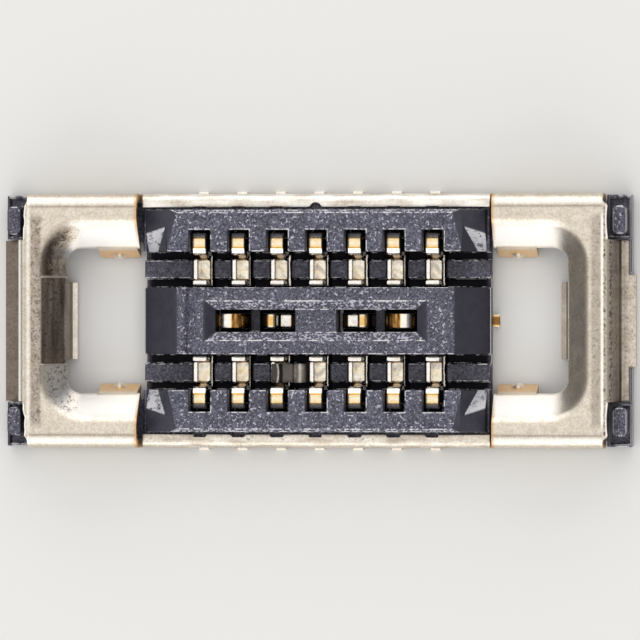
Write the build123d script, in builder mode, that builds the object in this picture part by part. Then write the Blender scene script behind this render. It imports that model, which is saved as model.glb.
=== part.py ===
from build123d import *

import os

# A shielded board to board receptacle, lying on its board. The mating side faces +Z, the contact
# rows run along X, and the board is the plane z = 0. The origin is the middle of the footprint.

# Overall sizes, in millimetres
shell_height = 0.57
shell_width = 2.28
sheet = 0.07

# Contact pattern
pitch = 0.35
contacts_per_row = 7
contact_sheet = 0.045

# Clearances between pieces
seat_gap = 0.005
shell_gap = 0.03
post_gap = 0.012
wall_gap = 0.025
frame_gap = 0.01
rim_gap = 0.01

# Housing: levels above the board
housing_bottom = 0.03
dish_floor = 0.08
channel_floor = 0.08
rim_top = 0.10
post_top = 0.13
rib_top = 0.20
frame_top = 0.20
mid_block_top = 0.34
peg_top = 0.40
island_top = 0.42
wall_top = 0.51

# Housing: body, walls and channels
body_margin = 0.515
wall_setback = 0.035
wall_edge_chamfer = 0.03
channel_width = 0.32
island_width = 0.60
rib_groove = 0.083
rib_width = 0.161
slot_width = 0.19
slot_end_gap = 0.038
slot_shift = 0.02

# Housing: island, with its parting groove, ramps, mouth, pockets and cross bars
groove_margin = 0.093
groove_width = 0.012
groove_depth = 0.01
island_ramp_length = 0.311
island_ramp_end = 0.20
mouth_margin = 0.254
mouth_slope = 0.09
mouth_width = 0.36
pocket_width = 0.20
bar_gap = 0.045
bar_length = 0.09
bar_bottom = 0.09
bar_top = 0.17

# Housing: wall ends, each a skewed ramp and a lead-in cut towards the channel
ramp_length = 0.295
ramp_skew = 0.25
ramp_slope = 0.44
lead_length = 0.20
lead_face_run = 0.117
lead_width = 0.25

# Housing: end frames, corner posts with pegs, and the rim beside the tongue
frame_window_margin_x = 0.10
frame_window_margin_y = 0.071
frame_window_radius = 0.06
post_clearance = 0.015
post_length = 0.23
post_edge_gap = 0.01
post_radius = 0.055
post_rim = 0.025
peg_gap = 0.031
peg_length = 0.126
peg_inner_margin = 0.04
peg_outer_margin = 0.103
peg_radius = 0.045
rim_thickness = 0.03

# Signal contact: from its tail over the hump and the neck to the blade and its leg
tail_width = 0.105
tail_show = 0.025
hump_length = 0.185
hump_show = 0.028
hump_top = 0.40
hump_width = 0.122
hump_radius = 0.05
neck_run = 0.04
neck_width = 0.075
blade_width = 0.125
leg_gap = 0.0175
leg_top = 0.34
bend_radius = 0.045
fold_thickness = 0.041
fold_gap = 0.008
fold_top = 0.30

# Centre contact: from its tail over the dome and the hem to the foot
centre_width = 0.13
centre_tail_width = 0.12
centre_tail_show = 0.065
centre_trim_setback = 0.035
dome_gap = 0.04
dome_length = 0.215
dome_run = 0.02
dome_top = 0.36
hem_gap = 0.06
hem_length = 0.095
hem_top = 0.29
centre_foot_length = 0.155
centre_foot_gap = 0.02

# End shell: folded plate, end wall and solder foot
plate_length = 1.038
plate_corner_cut = 0.045
bend_outer_radius = 0.10
skirt_setback = 0.048
skirt_bottom = 0.05
end_wall_width = 1.446
end_wall_draft = 0.05
end_bend_radius = 0.05
foot_bend_radius = 0.06
foot_show = 0.025
tongue_width = 0.82

# End shell: funnel, window and tabs
end_rim = 0.173
side_rim = 0.238
slope_run_x = 0.20
slope_run_y = 0.253
lip_height = 0.32
lip_radius = 0.13
funnel_radius = 0.40
funnel_rim_radius = 0.09
tab_root = 0.05
tab_bend_radius = 0.07
tab_bottom = 0.06
side_tab_setback = 0.025
side_tab_length = 0.36
side_tab_run = 0.08
end_tab_width = 0.69
end_tab_run = 0.07
dimple_position = 0.185
dimple_level = 0.15
dimple_radius = 0.06
dimple_crown = 0.025
dimple_show = 0.02
recess_width = 0.78
recess_depth = 0.014

# Side shell
side_top = 0.37
side_bottom = 0.075
side_flange = 0.12
side_bend_radius = 0.04
nick_radius = 0.05
slit_width = 0.107
slit_depth = 0.025

# Along X, from the contact pattern out to the feet
columns = [(index - (contacts_per_row - 1) / 2) * pitch for index in range(contacts_per_row)]
body_end = columns[-1] + body_margin
body_length = 2 * body_end
wall_end = body_end - wall_setback
ramp_start = wall_end - ramp_length
lead_start = wall_end - lead_length
lead_foot_x = lead_start + lead_face_run
plate_start = body_end + shell_gap
plate_end = plate_start + plate_length
funnel_end = plate_end - end_rim
lip_end = funnel_end - slope_run_x
skirt_end = plate_end - skirt_setback
side_tab_start = plate_start + side_tab_setback
frame_window_end = lip_end + frame_window_margin_x
frame_reach = skirt_end - frame_gap
post_start = skirt_end + post_clearance
post_reach = post_start + post_length
peg_start = plate_end + peg_gap
foot_reach = post_reach + foot_show
tongue_start = post_reach - rim_thickness - rim_gap

# Along X, inwards from the end of the island
island_flat_end = body_end - island_ramp_length
mouth_end = island_flat_end - mouth_margin
pocket_end = mouth_end - mouth_slope
dome_outer_x = pocket_end - dome_gap
dome_inner_x = dome_outer_x - dome_length
bar_outer_x = dome_inner_x - bar_gap
hem_outer_x = bar_outer_x - bar_length - hem_gap
hem_inner_x = hem_outer_x - hem_length
foot_inner_x = hem_inner_x - centre_foot_length
pocket_start = foot_inner_x - centre_foot_gap

# Along Y, from the island out to the channels and the contacts
channel_end_y = island_width / 2 + channel_width
rib_inner_y = island_width / 2 + rib_groove
leg_y = island_width / 2 + leg_gap
hump_inner_y = channel_end_y - hump_show
hump_outer_y = hump_inner_y + hump_length
neck_foot_y = hump_inner_y - neck_run
slot_reach = hump_outer_y + slot_end_gap
lead_outer_y = channel_end_y + lead_width

# Along Y, from the outside of the shells inwards
shell_half_width = shell_width / 2
skirt_inner_y = shell_half_width - sheet
frame_half_width = skirt_inner_y - seat_gap
side_inner_y = shell_half_width - side_flange
wall_outer_y = side_inner_y - wall_gap
tail_reach = shell_half_width + tail_show
funnel_half_width = shell_half_width - side_rim
lip_half_width = funnel_half_width - slope_run_y
side_tab_foot = lip_half_width - side_tab_run
side_tab_dimple_root = side_tab_foot + sheet / 2
post_inner_y = end_wall_width / 2 + post_gap
post_outer_y = shell_half_width - post_edge_gap
peg_inner_y = post_inner_y + peg_inner_margin
peg_width = post_outer_y - peg_outer_margin - peg_inner_y

# Slopes and skins of the funnel
slope_drop = shell_height - lip_height
slope_length_x = (slope_run_x**2 + slope_drop**2) ** 0.5
slope_length_y = (slope_run_y**2 + slope_drop**2) ** 0.5
skin_run_x = sheet * slope_length_x / slope_drop
skin_run_y = sheet * slope_length_y / slope_drop

# Strips and their slots
half_strip = contact_sheet / 2
dome_radius = (dome_length - contact_sheet) / 2 - seat_gap
hem_radius = (hem_length - contact_sheet) / 2 - seat_gap / 5
tail_slot_top = contact_sheet + seat_gap
tail_slot_width = tail_width + 2 * seat_gap
centre_slot_width = centre_tail_width + 2 * seat_gap
ledge_top = side_top - sheet

os.makedirs("parts", exist_ok=True)


def save(piece, name):
    """Label a finished piece and write it to its own file."""
    piece.part.label = name
    export_step(piece.part, f"parts/{name}.step")


# Lead-in cut at a channel's end: a slope that rises away from the channel, stopped by a steep face
with BuildPart() as lead_in:
    with BuildSketch(Plane.YZ.offset(lead_start)):
        with BuildLine():
            Polyline(
                (channel_end_y, rib_top),
                (lead_outer_y, wall_top),
                (channel_end_y, wall_top),
                close=True,
            )
        make_face()
    extrude(amount=lead_length)
    with BuildSketch(Plane.XZ):
        with BuildLine():
            Polyline(
                (lead_start, wall_top),
                (lead_foot_x, rib_top),
                (wall_end, rib_top),
                (wall_end, wall_top),
                close=True,
            )
        make_face()
    extrude(amount=wall_end, both=True, mode=Mode.INTERSECT)

# Housing
with BuildPart() as housing:
    # Central body up to the ledge that carries the side shells
    with BuildSketch(Plane.XY.offset(housing_bottom)):
        Rectangle(body_length, 2 * frame_half_width)
    extrude(amount=ledge_top - housing_bottom)

    # Side walls, with a chamfer along their outer top edges
    with BuildSketch(Plane.YZ.offset(-wall_end)):
        with Locations((0, housing_bottom)):
            Rectangle(2 * wall_outer_y, wall_top - housing_bottom, align=(Align.CENTER, Align.MIN))
    walls = extrude(amount=2 * wall_end)
    outer_edges = walls.edges().filter_by(Axis.X).group_by(Axis.Z)[-1]
    chamfer(outer_edges, wall_edge_chamfer)

    # End frames under the end shells, each round a window that goes through
    for side in (-1, 1):
        with BuildSketch(Plane.XY.offset(housing_bottom)):
            with Locations((side * (body_end + frame_reach) / 2, 0)):
                Rectangle(frame_reach - body_end, 2 * frame_half_width)
            with Locations((side * (body_end + frame_window_end) / 2, 0)):
                RectangleRounded(
                    frame_window_end - body_end,
                    2 * (lip_half_width + frame_window_margin_y),
                    frame_window_radius,
                    mode=Mode.SUBTRACT,
                )
        extrude(amount=frame_top - housing_bottom)

    # Corner posts, joined to the end frames, each with a dish in its top and a raised peg in the dish
    for side_x in (-1, 1):
        for side_y in (-1, 1):
            root_middle_x = side_x * (frame_reach + post_reach) / 2
            root_middle_y = side_y * (post_inner_y + frame_half_width) / 2
            post_middle = (side_x * (post_start + post_reach) / 2, side_y * (post_inner_y + post_outer_y) / 2)
            peg_middle = (side_x * (peg_start + peg_length / 2), side_y * (peg_inner_y + peg_width / 2))
            with BuildSketch(Plane.XY.offset(housing_bottom)):
                with Locations((root_middle_x, root_middle_y)):
                    Rectangle(post_reach - frame_reach, frame_half_width - post_inner_y)
                with Locations(post_middle):
                    post = Rectangle(post_reach - post_start, post_outer_y - post_inner_y)
                corner = post.vertices().sort_by_distance((side_x * post_reach, side_y * post_outer_y))[0]
                fillet(corner, post_radius)
            extrude(amount=post_top - housing_bottom)
            with BuildSketch(Plane.XY.offset(dish_floor)):
                with Locations(post_middle):
                    Rectangle(
                        post_reach - post_start - 2 * post_rim,
                        post_outer_y - post_inner_y - 2 * post_rim,
                    )
            extrude(amount=post_top - dish_floor, mode=Mode.SUBTRACT)
            with BuildSketch(Plane.XY.offset(dish_floor)):
                with Locations(peg_middle):
                    RectangleRounded(peg_length, peg_width, peg_radius)
            extrude(amount=peg_top - dish_floor)

    # Thin rim outside the right solder foot, on both sides of its tongue
    for side_y in (-1, 1):
        with BuildSketch(Plane.XY.offset(housing_bottom)):
            with Locations((post_reach, side_y * post_inner_y)):
                Rectangle(
                    rim_thickness,
                    post_inner_y - tongue_width / 2 - post_gap,
                    align=(Align.MAX, Align.MAX if side_y > 0 else Align.MIN),
                )
        extrude(amount=rim_top - housing_bottom)

    # Trench between the walls, down to the island's top
    with BuildSketch(Plane.XY.offset(island_top)):
        Rectangle(body_length, 2 * channel_end_y)
    extrude(amount=wall_top - island_top, mode=Mode.SUBTRACT)

    # Channels beside the island, with a rib along each floor
    for side in (-1, 1):
        with BuildSketch(Plane.XY.offset(rib_top)):
            with Locations((0, side * (island_width + channel_width) / 2)):
                Rectangle(body_length, channel_width)
        extrude(amount=island_top - rib_top, mode=Mode.SUBTRACT)
        with BuildSketch(Plane.XY.offset(channel_floor)):
            with Locations((0, side * (island_width + channel_width) / 2)):
                Rectangle(body_length, channel_width)
            with Locations((0, side * (rib_inner_y + rib_width / 2))):
                Rectangle(body_length, rib_width, mode=Mode.SUBTRACT)
        extrude(amount=rib_top - channel_floor, mode=Mode.SUBTRACT)

    # Ramps at both ends of the island
    for side in (-1, 1):
        with BuildSketch(Plane.XZ.offset(-island_width / 2)):
            with BuildLine():
                Polyline(
                    (side * island_flat_end, island_top),
                    (side * body_end, island_ramp_end),
                    (side * body_end, island_top),
                    close=True,
                )
            make_face()
        extrude(amount=island_width, mode=Mode.SUBTRACT)

    # Fine groove across the island near its left end
    with BuildSketch(Plane.XY.offset(island_top)):
        with Locations((groove_margin - island_flat_end, 0)):
            Rectangle(groove_width, island_width, align=(Align.MIN, Align.CENTER))
    extrude(amount=-groove_depth, mode=Mode.SUBTRACT)

    # Skewed ramp and lead-in cut at each end of both walls
    for side_x in (-1, 1):
        for side_y in (-1, 1):
            ramp = Plane(
                origin=(side_x * ramp_start, side_y * wall_outer_y, wall_top),
                x_dir=(0, 1, 0),
                z_dir=(side_x * ramp_slope, side_y * ramp_slope * ramp_skew, 1),
            )
            with BuildSketch(ramp):
                Rectangle(2 * wall_outer_y, wall_end)
            extrude(amount=wall_top - channel_floor, mode=Mode.SUBTRACT)
    near = lead_in.part.mirror(Plane.XZ)
    for cut in (lead_in.part, near, lead_in.part.mirror(Plane.YZ), near.mirror(Plane.YZ)):
        add(cut, mode=Mode.SUBTRACT)

    # One slot per contact, open to the board, and a tail groove under the wall
    slot_length = slot_reach - island_width / 2
    groove_length = frame_half_width - slot_reach
    with BuildSketch(Plane.XY):
        for side in (-1, 1):
            with Locations(*[(x + slot_shift, side * (island_width + slot_length) / 2) for x in columns]):
                Rectangle(slot_width, slot_length)
    extrude(amount=wall_top, mode=Mode.SUBTRACT)
    with BuildSketch(Plane.XY):
        for side in (-1, 1):
            with Locations(*[(x, side * (slot_reach + groove_length / 2)) for x in columns]):
                Rectangle(tail_slot_width, groove_length)
    extrude(amount=tail_slot_top, mode=Mode.SUBTRACT)

    # Chamfered mouth along the island
    with BuildSketch(Plane.XY.offset(mid_block_top)):
        Rectangle(2 * pocket_end, pocket_width)
    with BuildSketch(Plane.XY.offset(island_top)):
        Rectangle(2 * mouth_end, mouth_width)
    loft(mode=Mode.SUBTRACT)

    # Two pockets under the mouth, each with a cross bar, and a tail groove to the body's end
    for side in (-1, 1):
        with BuildSketch(Plane.XY):
            with Locations((side * (pocket_start + pocket_end) / 2, 0)):
                Rectangle(pocket_end - pocket_start, pocket_width)
        extrude(amount=mid_block_top, mode=Mode.SUBTRACT)
        with BuildSketch(Plane.XY.offset(bar_bottom)):
            with Locations((side * (bar_outer_x - bar_length / 2), 0)):
                Rectangle(bar_length, pocket_width)
        extrude(amount=bar_top - bar_bottom)
        with BuildSketch(Plane.XY):
            with Locations((side * (pocket_end + body_end) / 2, 0)):
                Rectangle(body_end - pocket_end, centre_slot_width)
        extrude(amount=tail_slot_top, mode=Mode.SUBTRACT)
save(housing, "housing")

# Signal contact at the middle column of the +Y row: one formed strip, traced along its centre line
with BuildPart() as signal_blank:
    with BuildSketch(Plane.YZ.offset(-blade_width / 2)):
        with BuildLine():
            FilletPolyline(
                (tail_reach, half_strip),
                (hump_outer_y - half_strip, half_strip),
                (hump_outer_y - half_strip, hump_top - half_strip),
                (hump_inner_y + half_strip, hump_top - half_strip),
                (neck_foot_y + half_strip, half_strip),
                (leg_y + half_strip, half_strip),
                (leg_y + half_strip, leg_top),
                radius=[bend_radius, hump_radius, hump_radius, bend_radius, bend_radius],
            )
        trace(line_width=contact_sheet)
    extrude(amount=blade_width)

    # One long edge of the blade is folded up
    with BuildSketch(Plane.YZ.offset(-blade_width / 2)):
        with Locations((leg_y + contact_sheet + fold_gap, 0)):
            Rectangle(
                neck_foot_y - leg_y - contact_sheet - fold_gap,
                fold_top,
                align=(Align.MIN, Align.MIN),
            )
    extrude(amount=fold_thickness)

    # The strip's width changes along it: tail, hump, neck and blade
    with BuildSketch():
        with Locations((0, leg_y)):
            Rectangle(blade_width, neck_foot_y - leg_y, align=(Align.CENTER, Align.MIN))
        with Locations((0, neck_foot_y)):
            Rectangle(neck_width, hump_inner_y - neck_foot_y, align=(Align.CENTER, Align.MIN))
        with Locations((0, hump_inner_y)):
            Rectangle(hump_width, hump_outer_y - hump_inner_y, align=(Align.CENTER, Align.MIN))
        with Locations((0, hump_outer_y)):
            Rectangle(tail_width, tail_reach - hump_outer_y, align=(Align.CENTER, Align.MIN))
    extrude(amount=shell_height, mode=Mode.INTERSECT)

for row, side in enumerate((1, -1)):
    for index, x in enumerate(columns):
        with BuildPart() as signal_contact:
            with Locations((x, 0, 0)):
                if side > 0:
                    add(signal_blank.part)
                else:
                    add(signal_blank.part.mirror(Plane.XZ))
        save(signal_contact, f"signal_contact_{row * contacts_per_row + index + 1:02d}")

# Centre contacts: each is one strip along the island slot
for side, name, tail_end in (
    (-1, "left", body_end - centre_trim_setback),
    (1, "right", body_end + centre_tail_show),
):
    with BuildPart() as centre_contact:
        with BuildSketch(Plane.XZ.offset(-centre_width / 2)):
            with BuildLine():
                FilletPolyline(
                    (tail_end, half_strip),
                    (dome_outer_x - half_strip, half_strip),
                    (dome_outer_x - half_strip, dome_top - half_strip),
                    (dome_inner_x + half_strip, dome_top - half_strip),
                    (dome_inner_x - dome_run + half_strip, half_strip),
                    (hem_outer_x - half_strip, half_strip),
                    (hem_outer_x - half_strip, hem_top - half_strip),
                    (hem_inner_x + half_strip, hem_top - half_strip),
                    (hem_inner_x + half_strip, half_strip),
                    (foot_inner_x, half_strip),
                    radius=[
                        bend_radius,
                        dome_radius,
                        dome_radius,
                        bend_radius,
                        bend_radius,
                        hem_radius,
                        hem_radius,
                        bend_radius,
                    ],
                )
            trace(line_width=contact_sheet)
        extrude(amount=centre_width)
        with BuildSketch():
            with Locations(((pocket_end + tail_end) / 2, 0)):
                Rectangle(tail_end - pocket_end, centre_tail_width)
            with Locations(((foot_inner_x + pocket_end) / 2, 0)):
                Rectangle(pocket_end - foot_inner_x, centre_width)
        extrude(amount=shell_height, mode=Mode.INTERSECT)
        if side < 0:
            mirror(about=Plane.YZ, mode=Mode.REPLACE)
    save(centre_contact, f"centre_contact_{name}")

# End shell on the +X side: folded plate, drawn funnel, window, tabs, end wall and foot
with BuildPart() as end_shell_blank:
    # Top and skirts as one folded section
    with BuildSketch(Plane.YZ.offset(plate_start)):
        with Locations((0, skirt_bottom)):
            outer = Rectangle(shell_width, shell_height - skirt_bottom, align=(Align.CENTER, Align.MIN))
        fillet(outer.vertices().group_by(Axis.Z)[-1], bend_outer_radius)
        with Locations((0, skirt_bottom)):
            Rectangle(
                2 * skirt_inner_y,
                shell_height - sheet - skirt_bottom,
                align=(Align.CENTER, Align.MIN),
                mode=Mode.SUBTRACT,
            )
    extrude(amount=plate_end - plate_start)

    # Skin of the funnel, under and round its slope
    with BuildSketch(Plane.XY.offset(lip_height - sheet)):
        with Locations((plate_start, 0)):
            RectangleRounded(
                2 * (lip_end + skin_run_x - sheet * slope_run_x / slope_drop - plate_start),
                2 * (lip_half_width + skin_run_y - sheet * slope_run_y / slope_drop),
                lip_radius + sheet,
            )
    with BuildSketch(Plane.XY.offset(shell_height)):
        with Locations((plate_start, 0)):
            RectangleRounded(
                2 * (funnel_end + skin_run_x - plate_start),
                2 * (funnel_half_width + skin_run_y),
                funnel_radius + sheet,
            )
    loft()

    # Open funnel
    with BuildSketch(Plane.XY.offset(lip_height)):
        with Locations((plate_start, 0)):
            RectangleRounded(2 * (lip_end - plate_start), 2 * lip_half_width, lip_radius)
    with BuildSketch(Plane.XY.offset(shell_height)):
        with Locations((plate_start, 0)):
            RectangleRounded(2 * (funnel_end - plate_start), 2 * funnel_half_width, funnel_radius)
    loft(mode=Mode.SUBTRACT)
    with BuildSketch(Plane.XY):
        with Locations((plate_start, 0)):
            RectangleRounded(2 * (lip_end - plate_start), 2 * lip_half_width, lip_radius)
    extrude(amount=shell_height, mode=Mode.SUBTRACT)

    # Nothing of the sections above stays on the housing's side of the plate
    with BuildSketch(Plane.YZ.offset(plate_start)):
        Rectangle(2 * shell_width, 2 * shell_height)
    extrude(amount=-2 * funnel_end, mode=Mode.SUBTRACT)

    # Rounded rim where the flat top turns into the slope
    rim = edges().filter_by(
        lambda edge: all(
            abs(corner.Z - shell_height) < seat_gap
            and abs(corner.Y) < funnel_half_width + seat_gap
            and corner.X < funnel_end + seat_gap
            for corner in edge.vertices()
        )
    )
    fillet(rim, funnel_rim_radius)

    # Clipped outer corners, with the skirts ending a little short of the plate
    for side in (-1, 1):
        with BuildSketch(Plane.XY):
            with BuildLine():
                Polyline(
                    (plate_end, side * (skirt_inner_y - plate_corner_cut)),
                    (skirt_end, side * skirt_inner_y),
                    (skirt_end, side * shell_width),
                    (plate_end, side * shell_width),
                    close=True,
                )
            make_face()
        extrude(amount=shell_height, mode=Mode.SUBTRACT)

    # End wall and solder foot as one folded strip
    with BuildSketch(Plane.XZ.offset(-end_wall_width / 2)):
        with BuildLine():
            FilletPolyline(
                (funnel_end + skin_run_x, shell_height - sheet / 2),
                (plate_end, shell_height - sheet / 2),
                (plate_end + end_wall_draft, sheet / 2),
                (foot_reach, sheet / 2),
                radius=[end_bend_radius, foot_bend_radius],
            )
        trace(line_width=sheet)
    extrude(amount=end_wall_width)

    # Side tabs that carry on from the slope and turn down, each with a dimple
    skin_y = sheet / 2 * slope_drop / slope_length_y
    skin_z = sheet / 2 * slope_run_y / slope_length_y
    root_y = tab_root * slope_run_y / slope_length_y
    root_z = tab_root * slope_drop / slope_length_y
    for side in (-1, 1):
        with BuildSketch(Plane.YZ.offset(side_tab_start)):
            with BuildLine():
                FilletPolyline(
                    (side * (lip_half_width + skin_y + root_y), lip_height - skin_z + root_z),
                    (side * (lip_half_width + skin_y - root_y), lip_height - skin_z - root_z),
                    (side * (side_tab_foot + sheet / 2), tab_bottom),
                    radius=tab_bend_radius,
                )
            trace(line_width=sheet)
        extrude(amount=side_tab_length)
        with BuildSketch(Plane.XZ.offset(-side * side_tab_dimple_root)):
            with Locations((side_tab_start + dimple_position, dimple_level)):
                Circle(dimple_radius)
        with BuildSketch(Plane.XZ.offset(-side * (side_tab_foot - dimple_show))):
            with Locations((side_tab_start + dimple_position, dimple_level)):
                Circle(dimple_crown)
        loft()

    # End tab, made the same way
    skin_x = sheet / 2 * slope_drop / slope_length_x
    skin_down = sheet / 2 * slope_run_x / slope_length_x
    root_x = tab_root * slope_run_x / slope_length_x
    root_down = tab_root * slope_drop / slope_length_x
    with BuildSketch(Plane.XZ.offset(-end_tab_width / 2)):
        with BuildLine():
            FilletPolyline(
                (lip_end + skin_x + root_x, lip_height - skin_down + root_down),
                (lip_end + skin_x - root_x, lip_height - skin_down - root_down),
                (lip_end - end_tab_run + sheet / 2, tab_bottom),
                radius=tab_bend_radius,
            )
        trace(line_width=sheet)
    extrude(amount=end_tab_width)

# The right end shell has a foot with a narrower tongue
with BuildPart() as end_shell_right:
    add(end_shell_blank.part)
    with BuildSketch(Plane.XY):
        with Locations(((tongue_start + foot_reach) / 2, 0)):
            Rectangle(foot_reach - tongue_start, end_wall_width)
            Rectangle(foot_reach - tongue_start, tongue_width, mode=Mode.SUBTRACT)
    extrude(amount=shell_height, mode=Mode.SUBTRACT)
save(end_shell_right, "end_shell_right")

# The left end shell has a full-width foot and a panel coined into its end slope
with BuildPart() as end_shell_left:
    add(end_shell_blank.part)
    recess_run = recess_depth * slope_length_x / slope_drop
    with BuildSketch(Plane.XZ.offset(-recess_width / 2)):
        with BuildLine():
            Polyline(
                (lip_end, shell_height),
                (lip_end, lip_height),
                (lip_end + recess_run, lip_height),
                (funnel_end + recess_run, shell_height),
                close=True,
            )
        make_face()
    extrude(amount=recess_width, mode=Mode.SUBTRACT)
    mirror(about=Plane.YZ, mode=Mode.REPLACE)
save(end_shell_left, "end_shell_left")

# Side shells: folded strips on the housing's ledges, notched above each contact
for side, name in ((-1, "front"), (1, "rear")):
    with BuildPart() as side_shell:
        with BuildSketch(Plane.YZ.offset(-body_end)):
            with BuildLine():
                FilletPolyline(
                    (side * (shell_half_width - sheet / 2), side_bottom),
                    (side * (shell_half_width - sheet / 2), side_top - sheet / 2),
                    (side * side_inner_y, side_top - sheet / 2),
                    radius=side_bend_radius,
                )
            trace(line_width=sheet)
        extrude(amount=body_length)
        with BuildSketch(Plane.XY):
            with Locations(*[(x, side * side_inner_y) for x in columns]):
                Rectangle(slit_width, 2 * slit_depth)
            if side > 0:
                with Locations((0, side * side_inner_y)):
                    Circle(nick_radius)
        extrude(amount=shell_height, mode=Mode.SUBTRACT)
    save(side_shell, f"side_shell_{name}")
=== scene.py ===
import logging
import math
import random
from collections.abc import Callable
from dataclasses import dataclass, field
from enum import Enum
from itertools import groupby

import bmesh
import bpy
from mathutils import Matrix, Vector, noise


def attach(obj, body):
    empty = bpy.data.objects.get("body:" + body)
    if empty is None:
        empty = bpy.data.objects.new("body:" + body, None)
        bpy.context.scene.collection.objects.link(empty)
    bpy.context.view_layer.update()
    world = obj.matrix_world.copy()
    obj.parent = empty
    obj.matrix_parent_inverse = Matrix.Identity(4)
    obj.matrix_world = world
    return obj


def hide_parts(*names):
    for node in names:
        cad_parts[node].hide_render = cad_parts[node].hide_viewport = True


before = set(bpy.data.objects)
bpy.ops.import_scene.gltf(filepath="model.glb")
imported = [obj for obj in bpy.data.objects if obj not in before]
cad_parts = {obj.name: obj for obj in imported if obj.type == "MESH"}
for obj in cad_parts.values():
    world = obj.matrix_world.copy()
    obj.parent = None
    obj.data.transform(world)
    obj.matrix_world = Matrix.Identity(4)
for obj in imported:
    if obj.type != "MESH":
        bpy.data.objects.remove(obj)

logging.basicConfig(level=logging.INFO, format="%(message)s")
log = logging.getLogger("connector")

MM = 0.001  # sizes below are in millimetres, and meshes are written in metres
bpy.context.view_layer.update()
UP = Vector((0, 0, 1))

Colour = tuple[float, float, float]
Socket = bpy.types.NodeSocket
Term = Socket | float
Span = tuple[float, float]  # a mask is 0 at the first value and 1 at the second
Column = tuple[Vector, Vector, Vector]  # places on a shell's lip, rim and flat


class End(Enum):
    """The two ends of the connector, with the sign of their X."""

    LEFT = -1
    RIGHT = 1


class Row(Enum):
    """The two long sides of the connector, with the sign of their Y."""

    FRONT = -1
    REAR = 1


class Hanging(Enum):
    """What hangs from a stretch of an end shell's lip."""

    NOTHING = 0
    SIDE_TAB = 1
    END_TAB = 2


def smoothstep(low: float, high: float, value: float) -> float:
    """Rise smoothly from 0 at low to 1 at high."""
    share = min(1.0, max(0.0, (value - low) / (high - low)))
    return share * share * (3 - 2 * share)


def band(value: float, middle: float, width: float) -> float:
    """A soft bump of height 1 around a middle value."""
    return math.exp(-(((value - middle) / width) ** 2))


def ripple(first: float, second: float, third: float) -> float:
    """Smooth noise around 0 over three coordinates."""
    return noise.noise(Vector((first, second, third)))


def row_places(count: int, pitch: float) -> list[float]:
    """Places along X of the contacts of one row."""
    return [(index - (count - 1) / 2) * pitch for index in range(count)]


def spread(breaks: list[float], step: float) -> list[float]:
    """Divide the spans between breakpoints evenly.

    Args:
        breaks: Values in rising or falling order that all stay in the result.
        step: The largest distance between two values.

    Returns:
        The values, ends included.
    """
    values = [breaks[0]]
    for start, stop in zip(breaks, breaks[1:]):
        count = max(1, math.ceil(abs(stop - start) / step - 1e-6))
        values.extend(start + (stop - start) * index / count for index in range(1, count + 1))
    return values


def bent(start: Vector, corner: Vector, stop: Vector, count: int) -> list[Vector]:
    """Sample a bend that leaves start and reaches stop, both towards the corner.

    Args:
        start: Where the bend starts.
        corner: Where the two straight runs would meet.
        stop: Where the bend ends.
        count: Spans along the bend.

    Returns:
        The samples, ends included.
    """
    samples = []
    for index in range(count + 1):
        share = index / count
        samples.append(start.lerp(corner, share).lerp(corner.lerp(stop, share), share))
    return samples


def rounded_path(
    points: list[tuple[float, float]], radii: list[float], step: float
) -> list[Vector]:
    """Follow a polyline with rounded corners.

    Args:
        points: The corners of the polyline, ends included.
        radii: One radius for each inner corner.
        step: The largest distance between two samples.

    Returns:
        Samples along the rounded line.
    """
    corners = [Vector(p) for p in points]
    line = [corners[0]]

    def run_to(target: Vector) -> None:
        """Add samples on the straight run from the last one to a target."""
        start = line[-1]
        count = math.ceil((target - start).length / step - 1e-6)
        line.extend(start.lerp(target, index / count) for index in range(1, count + 1))

    for before, corner, after, radius in zip(corners, corners[1:], corners[2:], radii):
        way_in = (corner - before).normalized()
        way_out = (after - corner).normalized()
        cross = way_in.x * way_out.y - way_in.y * way_out.x
        turn = math.atan2(cross, way_in.dot(way_out))
        cut = radius * math.tan(abs(turn) / 2)
        run_to(corner - way_in * cut)
        side = 1 if turn > 0 else -1
        centre = line[-1] + Vector((-way_in.y, way_in.x)) * side * radius
        spoke = line[-1] - centre
        count = max(3, math.ceil(radius * abs(turn) / step))
        for index in range(1, count + 1):
            angle = turn * index / count
            line.append(centre + Matrix.Rotation(angle, 2) @ spoke)
    run_to(corners[-1])
    return line


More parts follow.
